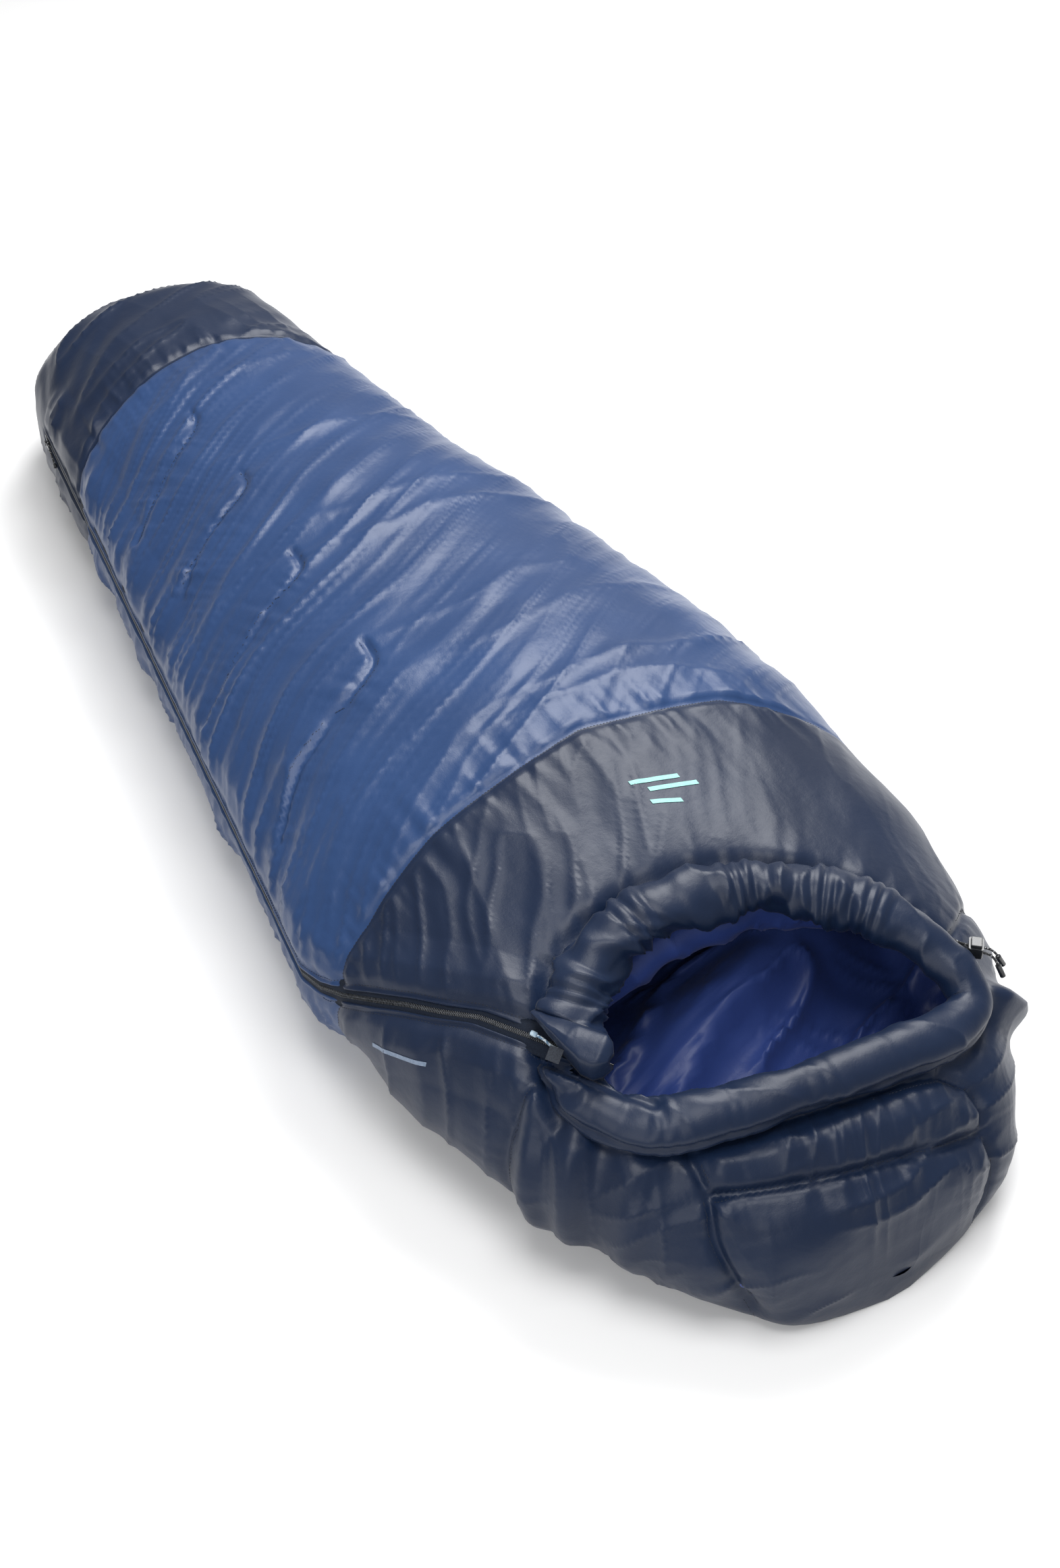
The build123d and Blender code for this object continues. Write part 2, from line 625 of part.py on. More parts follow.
tube_centre = wall + INSIDE_CLEARANCE + DRAFT_TUBE_RADIUS
tube_start = zip_foot + side_run * DRAFT_TUBE_END - foot_frame.y_dir * tube_centre
tube_length = (zip_shoulder - zip_foot).length - 2 * DRAFT_TUBE_END
with BuildPart() as draft_tube:
    with BuildSketch(Plane(origin=tube_start, x_dir=(0, 0, 1), z_dir=side_run)):
        Circle(DRAFT_TUBE_RADIUS)
    extrude(amount=tube_length)
finish(draft_tube.part, "draft_tube")
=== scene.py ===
"""Looks of the mummy sleeping bag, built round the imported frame. Metres, +Z up, foot at +Y, zip at -X."""
import math

import bpy
import numpy as np
from mathutils import Matrix, Vector
from mathutils.bvhtree import BVHTree


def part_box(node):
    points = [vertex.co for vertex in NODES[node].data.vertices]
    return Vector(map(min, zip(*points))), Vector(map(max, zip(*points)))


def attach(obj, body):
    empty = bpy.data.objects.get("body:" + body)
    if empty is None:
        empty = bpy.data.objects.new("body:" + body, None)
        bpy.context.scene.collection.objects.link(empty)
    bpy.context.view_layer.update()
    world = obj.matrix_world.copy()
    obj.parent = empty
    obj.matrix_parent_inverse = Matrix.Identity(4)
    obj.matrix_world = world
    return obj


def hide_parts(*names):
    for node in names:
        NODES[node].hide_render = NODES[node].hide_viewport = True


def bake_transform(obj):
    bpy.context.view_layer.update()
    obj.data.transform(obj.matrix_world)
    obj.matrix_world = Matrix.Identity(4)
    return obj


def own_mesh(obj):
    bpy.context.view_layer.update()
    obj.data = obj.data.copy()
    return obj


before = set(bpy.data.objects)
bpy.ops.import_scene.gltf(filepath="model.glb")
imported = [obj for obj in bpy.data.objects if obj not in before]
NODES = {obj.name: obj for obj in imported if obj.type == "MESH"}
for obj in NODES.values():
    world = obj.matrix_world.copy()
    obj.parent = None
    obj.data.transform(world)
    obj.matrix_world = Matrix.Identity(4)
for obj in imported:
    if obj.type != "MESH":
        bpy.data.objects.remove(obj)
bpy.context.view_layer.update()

# ---- camera
CAMERA_PLACE = (-0.961, -1.820, 1.915)
CAMERA_HEADING = 31.83
CAMERA_DOWN = 44.20
CAMERA_ROLL = -0.17
CAMERA_LENS = 44.94
CAMERA_SENSOR = 36

# ---- the bag's shape: y, width, height
SECTIONS = (
    (-1.050, 0.030, 0.020),
    (-1.045, 0.180, 0.100),
    (-1.030, 0.310, 0.150),
    (-0.990, 0.400, 0.190),
    (-0.950, 0.465, 0.215),
    (-0.800, 0.655, 0.272),
    (-0.600, 0.755, 0.297),
    (-0.350, 0.782, 0.330),
    (0.000, 0.707, 0.315),
    (0.350, 0.575, 0.298),
    (0.700, 0.475, 0.290),
    (0.900, 0.440, 0.285),
    (0.980, 0.350, 0.230),
    (1.020, 0.255, 0.160),
    (1.042, 0.140, 0.090),
    (1.050, 0.030, 0.020),
)
MIDDLE = 0.42
ROUNDNESS = 2.15
LOWEST = 0.0015

# ---- seams between panels
FOOT_SEAM = 0.675
CHEST_SEAM = -0.400
SEAM_SPREAD = 0.15
# angle round the bag, shift along it
FOOT_SEAM_SHIFT = ((0, -0.105), (45, -0.03), (90, 0.025), (135, 0.0), (180, -0.04), (270, -0.07), (360, -0.105))
CHEST_SEAM_SHIFT = ((0, -0.075), (25, -0.05), (50, -0.015), (90, 0.018), (125, 0.0), (150, -0.06),
                    (180, -0.11), (270, -0.09), (360, -0.075))

# ---- zip line, as in the CAD frame
ZIP_FOOT = (-0.2385, 0.806, 0.140)
ZIP_SHOULDER = (-0.3975, -0.400, 0.140)
ZIP_BEND = ((-0.440, 4), (-0.480, 11), (-0.520, 19), (-0.560, 26.5), (-0.598, 32.5))
ZIP_TOP_RUN = ((-0.634, 38), (-0.712, 45))
ZIP_PAST_RIM = 0.070
TAPE_DEPTH = 0.0019
COIL_PITCH = 0.0022
# distance from the zip's middle, height of the cloth there
ZIP_EDGE = ((0, -0.0062), (0.0078, -0.0062), (0.0086, -0.0050), (0.0092, -0.0006), (0.0105, 0.0014),
            (0.0122, 0.0013), (0.0140, -0.0004), (0.0160, -0.0012), (0.0200, 0.0010), (0.030, 0.0060),
            (0.055, 0.0085), (0.10, 0.0))
ZIP_STITCH_ACROSS = 0.0148

# ---- cords, in their sliders' and lock's frames
HEAD_SETBACK = 0.020
FOOT_SETBACK = 0.016
PULL_CORD_RADIUS = 0.0016
HEAD_CORD = ((0, -0.021, 0.0053), (0, -0.029, 0.0053), (0.003, -0.038, 0.0056), (0.002, -0.048, 0.0063),
             (-0.002, -0.057, 0.0070), (-0.003, -0.066, 0.0074))
FOOT_CORD = ((0, -0.021, 0.0053), (0, -0.029, 0.0053), (-0.002, -0.037, 0.0055), (-0.005, -0.045, 0.0060),
             (-0.006, -0.053, 0.0064))
LOCK_PLACE = (0.245, -0.840, 0.227)
LOCK_HEADING = -42
STRAND_RADIUS = 0.0015
STRAND_ROUTE = ((-0.050, 0.004, 0.015), (-0.031, 0.004, 0.0085), (-0.013, 0.004, 0), (0.014, 0.004, 0),
                (0.023, 0.005, -0.006), (0.028, 0.0065, -0.015))

# ---- light: name, place, aimed at, size, power
WORLD_LIGHT = 0.42
LIGHTS = (
    ("key", (1.5, 1.0, 2.6), (0, -0.1, 0.2), 1.8, 120),
    ("overhead", (-0.3, -0.9, 3.2), (0, -0.4, 0.2), 1.6, 55),
    ("front", (-2.1, -2.2, 2.0), (0, -0.5, 0.2), 2.2, 34),
)

# ---- face opening, middle of its rim
RIM_LINE = (
    (-0.246, -0.778, 0.222),
    (-0.226, -0.715, 0.243),
    (-0.178, -0.668, 0.262),
    (-0.110, -0.644, 0.276),
    (-0.035, -0.640, 0.281),
    (0.045, -0.660, 0.277),
    (0.115, -0.704, 0.268),
    (0.168, -0.762, 0.253),
    (0.200, -0.825, 0.232),
    (0.203, -0.884, 0.208),
    (0.150, -0.908, 0.212),
    (0.060, -0.905, 0.222),
    (-0.040, -0.894, 0.226),
    (-0.130, -0.874, 0.224),
    (-0.208, -0.840, 0.218),
)
RIM_RADIUS = 0.029
RIM_VALLEY = 0.030
RIM_GATHER = 0.030
OPENING_ABOVE = 0.15
HOOD_BEYOND = -0.75
OVER_SHARE = 0.56
CROWN_FROM, CROWN_TO = -0.19, 0.14
INNER_INSET = 0.034
INNER_LOWEST = 0.020

# ---- stitched lines on the outer cloth
SIDE_STITCHES = (
    ((-0.087, 0.545, 0.285), (-0.102, 0.505, 0.284), (-0.175, 0.450, 0.264), (-0.257, 0.375, 0.215)),
    ((-0.094, 0.360, 0.291), (-0.111, 0.315, 0.290), (-0.197, 0.270, 0.269), (-0.266, 0.215, 0.237)),
    ((-0.119, 0.150, 0.299), (-0.128, 0.110, 0.301), (-0.184, 0.080, 0.291), (-0.253, 0.045, 0.270),
     (-0.341, -0.005, 0.210)),
    ((-0.132, -0.080, 0.313), (-0.147, -0.125, 0.314), (-0.235, -0.170, 0.296), (-0.299, -0.200, 0.272),
     (-0.365, -0.255, 0.226)),
)
CROWN_LEFT = ((-0.190, -0.880, 0.222), (-0.188, -0.928, 0.179), (-0.196, -0.956, 0.142),
              (-0.191, -0.981, 0.105), (-0.176, -1.002, 0.050), (-0.165, -1.000, 0.0))
CROWN_RIGHT = ((0.120, -0.945, 0.197), (0.142, -0.965, 0.170), (0.140, -1.000, 0.140),
               (0.140, -1.020, 0.095), (0.131, -1.035, 0.050), (0.120, -1.030, 0.0))
CROWN_MIDDLE = ((-0.188, -0.928, 0.179), (-0.090, -0.960, 0.172), (0.020, -0.982, 0.160),
                (0.140, -1.000, 0.140))
CROWN_TOP = ((-0.190, -0.880, 0.222), (-0.100, -0.905, 0.222), (0.010, -0.925, 0.215), (0.080, -0.935, 0.205),
             (0.120, -0.945, 0.197))
HOOD_LEFT = ((-0.275, -0.735, 0.225), (-0.321, -0.745, 0.190), (-0.350, -0.760, 0.106), (-0.340, -0.775, 0.0))
HOOD_RIGHT = ((0.236, -0.815, 0.225), (0.275, -0.790, 0.210), (0.320, -0.755, 0.170), (0.345, -0.740, 0.090),
              (0.330, -0.740, 0.0))
# seams of the hood: line, depth of the groove, depth of the hollow round it
HOOD_SEAMS = (
    (CROWN_LEFT, 0.008, 0.008),
    (CROWN_RIGHT, 0.008, 0.008),
    (CROWN_MIDDLE, 0.009, 0.010),
    (CROWN_TOP, 0.008, 0.007),
    (HOOD_LEFT, 0.006, 0.003),
    (HOOD_RIGHT, 0.006, 0.003),
)
# folds: line, height, width
FOLDS = (
    (((0.215, -0.870, 0.205), (0.262, -0.893, 0.190), (0.315, -0.905, 0.150)), 0.030, 0.022),
    (((-0.262, -0.790, 0.215), (-0.300, -0.830, 0.165), (-0.318, -0.850, 0.080)), 0.016, 0.020),
    (((-0.285, -0.750, 0.212), (-0.335, -0.790, 0.150), (-0.345, -0.810, 0.070)), 0.014, 0.018),
    (((-0.235, -0.850, 0.208), (-0.262, -0.885, 0.160), (-0.275, -0.900, 0.080)), 0.010, 0.022),
)


# ==== small numeric helpers
def smoothstep(low, high, x):
    t = np.clip((x - low) / (high - low), 0, 1)
    return t * t * (3 - 2 * t)


def hashed(ix, iy, seed):
    """A repeatable number from 0 to 1 for each whole-number pair."""
    n = (ix.astype(np.int64) * 374761393 + iy.astype(np.int64) * 668265263 + seed * 974634777) & 0x7FFFFFFF
    n = ((n ^ (n >> 13)) * 1274126177) & 0x7FFFFFFF
    return ((n ^ (n >> 16)) & 0xFFFF) / 65535.0


def noise(x, y, seed=0):
    """Smooth noise from -1 to 1 in two coordinates."""
    x, y = np.broadcast_arrays(np.asarray(x, float), np.asarray(y, float))
    ix, iy = np.floor(x), np.floor(y)
    fx, fy = x - ix, y - iy
    fx, fy = fx * fx * (3 - 2 * fx), fy * fy * (3 - 2 * fy)
    low = hashed(ix, iy, seed) * (1 - fx) + hashed(ix + 1, iy, seed) * fx
    high = hashed(ix, iy + 1, seed) * (1 - fx) + hashed(ix + 1, iy + 1, seed) * fx
    return 2 * (low * (1 - fy) + high * fy) - 1


def ridges(x, y, seed=0):
    """Noise with soft hollows and sharper crests, from about -1 to 1."""
    return 1 - 2 * np.sqrt(np.abs(noise(x, y, seed)) + 0.002)


def along_line(points, line):
    """Distance from each point to a broken line, and how far along the line its nearest point is."""
    line = np.asarray(line, float)
    best = np.full(len(points), 1e9)
    place = np.zeros(len(points))
    travelled = 0.0
    for start, end in zip(line, line[1:]):
        run = end - start
        length = np.linalg.norm(run)
        t = np.clip((points - start) @ run / length**2, 0, 1)
        distance = np.linalg.norm(points - start - t[:, None] * run, axis=1)
        nearer = distance < best
        best[nearer] = distance[nearer]
        place[nearer] = travelled + t[nearer] * length
        travelled += length
    return best, place


def smooth_line(points, count, closed=False):
    """An even, smooth line through the points."""
    p = np.asarray(points, float)
    last = len(p) if closed else len(p) - 1
    out = []
    for i in range(last):
        if closed:
            a, b, c, d = p[i - 1], p[i], p[(i + 1) % len(p)], p[(i + 2) % len(p)]
        else:
            a, b, c, d = p[max(i - 1, 0)], p[i], p[i + 1], p[min(i + 2, len(p) - 1)]
        t = np.linspace(0, 1, 24, endpoint=False)[:, None]
        out.append(0.5 * (2 * b + (c - a) * t + (2 * a - 5 * b + 4 * c - d) * t**2
                          + (3 * b - a - 3 * c + d) * t**3))
    out = np.vstack(out + [p[:1] if closed else p[-1:]])
    steps = np.concatenate([[0], np.cumsum(np.linalg.norm(np.diff(out, axis=0), axis=1))])
    wanted = np.linspace(0, steps[-1], count + 1 if closed else count)
    line = np.stack([np.interp(wanted, steps, out[:, k]) for k in range(3)], 1)
    return line[:-1] if closed else line


def unit(v):
    return v / np.maximum(np.linalg.norm(v, axis=-1, keepdims=True), 1e-12)


def new_mesh(name, vertices, faces, smooth=True):
    mesh = bpy.data.meshes.new(name)
    mesh.from_pydata([tuple(v) for v in np.asarray(vertices, float)], [], [tuple(f) for f in faces])
    mesh.validate()
    if smooth:
        mesh.polygons.foreach_set("use_smooth", [True] * len(mesh.polygons))
    piece = bpy.data.objects.new(name, mesh)
    bpy.context.scene.collection.objects.link(piece)
    return piece


def tube_faces(rings, around):
    """The cells of a tube, ring after ring of points."""
    faces = []
    for i in range(rings - 1):
        for j in range(around):
            k = (j + 1) % around
            faces.append((i * around + j, (i + 1) * around + j, (i + 1) * around + k, i * around + k))
    return faces


def paint(piece, material):
    piece.data.materials.clear()
    piece.data.materials.append(material)


def dress(piece, material, slot, *stood_for, fill=None):
    """Material, body and nodes stood for of a piece that stays on the bag; slot and fill are not used."""
    paint(piece, material)
    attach(piece, "bag")
    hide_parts(*stood_for)


# ==== the zip's line, as in the CAD frame
def cad_point(y, angle):
    """Point on the CAD ellipses between y -0.80 and -0.40, angle degrees above their widest line."""
    half = np.interp(y, (-0.80, -0.59955, -0.40), (0.650, 0.75525, 0.795)) / 2
    height = np.interp(y, (-0.80, -0.59955, -0.40), (0.280, 0.30636, 0.333))
    turn = math.radians(angle)
    return np.array([-half * math.cos(turn), y, height * (0.42 + 0.58 * math.sin(turn))])


def zip_stations():
    """Place, across, outward and along of the zip's stations, foot end first."""
    up = np.array([0.0, 0.0, 1.0])
    foot, shoulder = np.array(ZIP_FOOT), np.array(ZIP_SHOULDER)
    side_along = unit(shoulder - foot)
    side_out = np.cross(side_along, up)
    rows = [(foot, up, side_out, side_along), (shoulder, up, side_out, side_along)]
    top_start = cad_point(*ZIP_TOP_RUN[0])
    top_along = unit(cad_point(*ZIP_TOP_RUN[1]) - top_start)
    bend = [shoulder] + [cad_point(y, angle) for y, angle in ZIP_BEND] + [top_start]
    alongs = [unit(after - before) for before, after in zip(bend, bend[2:])] + [top_along]
    for (y, angle), along in zip(ZIP_BEND + ZIP_TOP_RUN[:1], alongs):
        rise = cad_point(y, angle + 1) - cad_point(y, angle - 1)
        back = cad_point(y + 0.001, angle) - cad_point(y - 0.001, angle)
        outward = unit(np.cross(rise, back))
        across = unit(np.cross(outward, along))
        rows.append((cad_point(y, angle), across, np.cross(along, across), along))
    top_end = cad_point(*ZIP_TOP_RUN[1]) + top_along * ZIP_PAST_RIM
    rows.append((top_end, *rows[-1][1:]))
    return [np.array(column) for column in zip(*rows)]


ZIP_PLACE, ZIP_ACROSS, ZIP_OUT, ZIP_ALONG = zip_stations()
ZIP_STEPS = np.concatenate([[0], np.cumsum(np.linalg.norm(np.diff(ZIP_PLACE, axis=0), axis=1))])
ZIP_LENGTH = ZIP_STEPS[-1]
TOP_END, TOP_ACROSS, TOP_OUT, TOP_ALONG = ZIP_PLACE[-1], ZIP_ACROSS[-1], ZIP_OUT[-1], ZIP_ALONG[-1]


def zip_at(travel):
    """Place, across, outward and along at a distance, or distances, from the zip's foot end."""
    travel = np.atleast_1d(travel)
    place, across, outward, along = (
        np.stack([np.interp(travel, ZIP_STEPS, column[:, k]) for k in range(3)], 1)
        for column in (ZIP_PLACE, ZIP_ACROSS, ZIP_OUT, ZIP_ALONG)
    )
    beyond = np.maximum(travel - ZIP_LENGTH, 0) + np.minimum(travel, 0)
    return place + along * beyond[:, None], unit(across), unit(outward), unit(along)


def near_zip(travel, across, outward):
    """Points beside the zip's line."""
    place, x, out, _ = zip_at(travel)
    return place + x * np.reshape(across, (-1, 1)) + out * np.reshape(outward, (-1, 1))


# ==== the bag's surface
DENSE_Y = np.linspace(SECTIONS[0][0], SECTIONS[-1][0], 421)


def smoothed(values, passes=8):
    out = np.array(values, float)
    for _ in range(passes):
        out[1:-1] = 0.25 * out[:-2] + 0.5 * out[1:-1] + 0.25 * out[2:]
    return out


SECTION_Y = [s[0] for s in SECTIONS]
DENSE_WIDTH = smoothed(np.interp(DENSE_Y, SECTION_Y, [s[1] for s in SECTIONS]))
DENSE_HEIGHT = smoothed(np.interp(DENSE_Y, SECTION_Y, [s[2] for s in SECTIONS]))


def envelope(y, angle, inset=0.0):
    """Points of the bag's plain shape at y, angle degrees up from the zip's side over the top."""
    half = np.maximum(np.interp(y, DENSE_Y, DENSE_WIDTH) / 2 - inset, 0.004)
    height = np.interp(y, DENSE_Y, DENSE_HEIGHT)
    tall = np.maximum((1 - MIDDLE) * height - inset, 0.003)
    c, s = np.cos(np.radians(angle)), np.sin(np.radians(angle))
    power = 2 / ROUNDNESS
    x = -half * np.sign(c) * np.abs(c) ** power
    z = MIDDLE * height + tall * np.sign(s) * np.abs(s) ** power
    return np.stack([x, y + 0 * x, np.maximum(z, LOWEST + 1.2 * inset)], -1)


def angle_of(point):
    """Angle of a point seen from the middle of the bag's section, as envelope uses it."""
    half = np.interp(point[1], DENSE_Y, DENSE_WIDTH) / 2
    height = np.interp(point[1], DENSE_Y, DENSE_HEIGHT)
    c = min(abs(point[0]) / half, 1) ** (ROUNDNESS / 2)
    s = (abs(point[2] - MIDDLE * height) / ((1 - MIDDLE) * height)) ** (ROUNDNESS / 2)
    return math.degrees(math.atan2(math.copysign(s, point[2] - MIDDLE * height), c))


ZIP_SAMPLES = np.linspace(0, ZIP_LENGTH, 300)
ZIP_LINE = zip_at(ZIP_SAMPLES)[0]
ZIP_ANGLES = np.array([angle_of(p) for p in ZIP_LINE])
ZIP_MISS = ZIP_LINE - np.array([envelope(p[1], a) for p, a in zip(ZIP_LINE, ZIP_ANGLES)])
ZIP_BY_Y = ZIP_LINE[::-1, 1]


def zip_angle(y):
    return np.interp(y, ZIP_BY_Y, ZIP_ANGLES[::-1])


def zip_miss(y):
    """How far the zip's line is from the plain shape at y, easing out beyond its ends."""
    miss = np.array([np.interp(y, ZIP_BY_Y, ZIP_MISS[::-1, k]) for k in range(3)])
    return miss * float(1 - smoothstep(0, 0.12, max(y - ZIP_FOOT[1], ZIP_BY_Y[0] - y)))


ZIP_SIDE = np.array([0, 0.003, 0.006, 0.0078, 0.0084, 0.0088, 0.0094, 0.0104, 0.0120, 0.0140, 0.0165,
                     0.0195, 0.0230, 0.0270, 0.0315])


def surface_rows(inset, columns, zip_side):
    """The surface on dense rows: points, their distance from the zip, and the whole way round."""
    turn = np.linspace(0, 360, 1441)
    wanted = np.linspace(0, 1, 400)
    weight = np.where(wanted < 0.63, 1.0, np.where(wanted < 0.90, 0.25, 1.0))
    weight = np.concatenate([[0], np.cumsum(weight[1:])])
    middle = np.interp(np.linspace(0, 1, columns + 2)[1:-1], weight / weight[-1], wanted)
    points, distances, rounds = [], [], []
    for y in DENSE_Y:
        line = envelope(np.full(1441, y), zip_angle(y) + turn, inset)
        steps = np.concatenate([[0], np.cumsum(np.linalg.norm(np.diff(line, axis=0), axis=1))])
        near = np.minimum(steps, steps[-1] - steps)
        line += zip_miss(y) * np.exp(-(near / 0.12) ** 2)[:, None]
        line[:, 2] = np.maximum(line[:, 2], LOWEST + 1.2 * inset)
        steps = np.concatenate([[0], np.cumsum(np.linalg.norm(np.diff(line, axis=0), axis=1))])
        whole = steps[-1]
        side = zip_side * min(1, whole / 0.4)
        place = np.concatenate([side, side[-1] + (whole - 2 * side[-1]) * middle, whole - side[::-1]])
        points.append(np.stack([np.interp(place, steps, line[:, k]) for k in range(3)], 1))
        distances.append(place)
        rounds.append(np.full(len(place), whole))
    return np.array(points), np.array(distances), np.array(rounds)


def row_places(fine, coarse):
    """Rows along the bag, evenly apart on its surface, closer together in the hood."""
    profile = np.stack([DENSE_Y, DENSE_WIDTH / 2, DENSE_HEIGHT * 0.8], 1)
    steps = np.concatenate([[0], np.cumsum(np.linalg.norm(np.diff(profile, axis=0), axis=1))])
    rows, travel = [], 0.0
    while travel < steps[-1]:
        y = float(np.interp(travel, steps, DENSE_Y))
        rows.append(y)
        travel += fine + (coarse - fine) * float(smoothstep(-0.45, -0.25, y))
    rows.append(DENSE_Y[-1])
    rows = np.array(rows)
    for seam in (FOOT_SEAM, CHEST_SEAM):
        rows[np.argmin(np.abs(rows - seam))] = seam
    return rows


def seam_shift(y, angle):
    """How far rows move along the bag, so that a row lies along each cross seam."""
    foot = np.interp(angle % 360, *zip(*FOOT_SEAM_SHIFT))
    chest = np.interp(angle % 360, *zip(*CHEST_SEAM_SHIFT))
    return (foot * np.exp(-((y - FOOT_SEAM) / SEAM_SPREAD) ** 2)
            + chest * np.exp(-((y - CHEST_SEAM) / SEAM_SPREAD) ** 2))


def surface_grid(inset, fine, coarse, columns, zip_side=ZIP_SIDE):
    """A grid on the bag's surface: points, rows' places, distance above the zip, distance below it."""
    points, distance, whole = surface_rows(inset, columns, zip_side)
    rows = row_places(fine, coarse)
    height = np.interp(rows, DENSE_Y, DENSE_HEIGHT)
    first = np.stack([np.stack([np.interp(rows, DENSE_Y, points[:, j, k]) for k in range(3)], 1)
                      for j in range(points.shape[1])], 1)
    angle = np.degrees(np.arctan2((first[..., 2] - (MIDDLE * height)[:, None]) * 1.7, -first[..., 0]))
    place = rows[:, None] + seam_shift(rows[:, None], angle)
    place = np.clip(place, DENSE_Y[0], DENSE_Y[-1])
    grid = np.zeros(first.shape)
    above = np.zeros(first.shape[:2])
    round_it = np.zeros(first.shape[:2])
    for j in range(points.shape[1]):
        for k in range(3):
            grid[:, j, k] = np.interp(place[:, j], DENSE_Y, points[:, j, k])
        above[:, j] = np.interp(place[:, j], DENSE_Y, distance[:, j])
        round_it[:, j] = np.interp(place[:, j], DENSE_Y, whole[:, j])
    return grid, rows, above, round_it - above


def grid_normals(grid):
    """Outward normals of a grid whose last column meets its first."""
    along = np.gradient(grid, axis=0)
    around = np.gradient(grid, axis=1)
    around[:, 0] = around[:, -1] = (grid[:, 1] - grid[:, -2]) / 2
    return -unit(np.cross(along, around))


def inside_loop(x, y, loop):
    """Whether each point lies inside a closed line, seen from above."""
    inside = np.zeros(np.shape(x), bool)
    for (x0, y0), (x1, y1) in zip(loop, np.roll(loop, -1, axis=0)):
        crosses = (y0 > y) != (y1 > y)
        with np.errstate(divide="ignore", invalid="ignore"):
            inside ^= crosses & (x < (x1 - x0) * (y - y0) / (y1 - y0) + x0)
    return inside


RIM = smooth_line(RIM_LINE, 420, closed=True)


def crease(distance, depth, width):
    """A sewn groove."""
    return -depth * np.exp(-(distance / width) ** 2)


def gathers(distance, place, reach, height, pitch, seed):
    """Small puckers that run away from a seam."""
    wave = noise(place / pitch, distance / (2.5 * reach) + 3.1 * seed, seed) \
        + 0.5 * noise(2.1 * place / pitch, distance / (1.5 * reach), seed + 1)
    return height * wave * np.exp(-distance / reach) * smoothstep(0, 0.3 * reach, distance)


def surface_tree(points, wrap):
    """A search tree of a grid's cells."""
    rows, columns = points.shape[:2]
    quads = []
    for i in range(rows - 1):
        for j in range(columns if wrap else columns - 1):
            k = (j + 1) % columns
            quads.append((i * columns + j, i * columns + k, (i + 1) * columns + k, (i + 1) * columns + j))
    return BVHTree.FromPolygons([tuple(v) for v in points.reshape(-1, 3)], quads)


def laid_on(tree, line, count):
    """A smooth line through the points, laid on a surface."""
    return np.array([tree.find_nearest(Vector(p))[0][:] for p in smooth_line(line, count)])


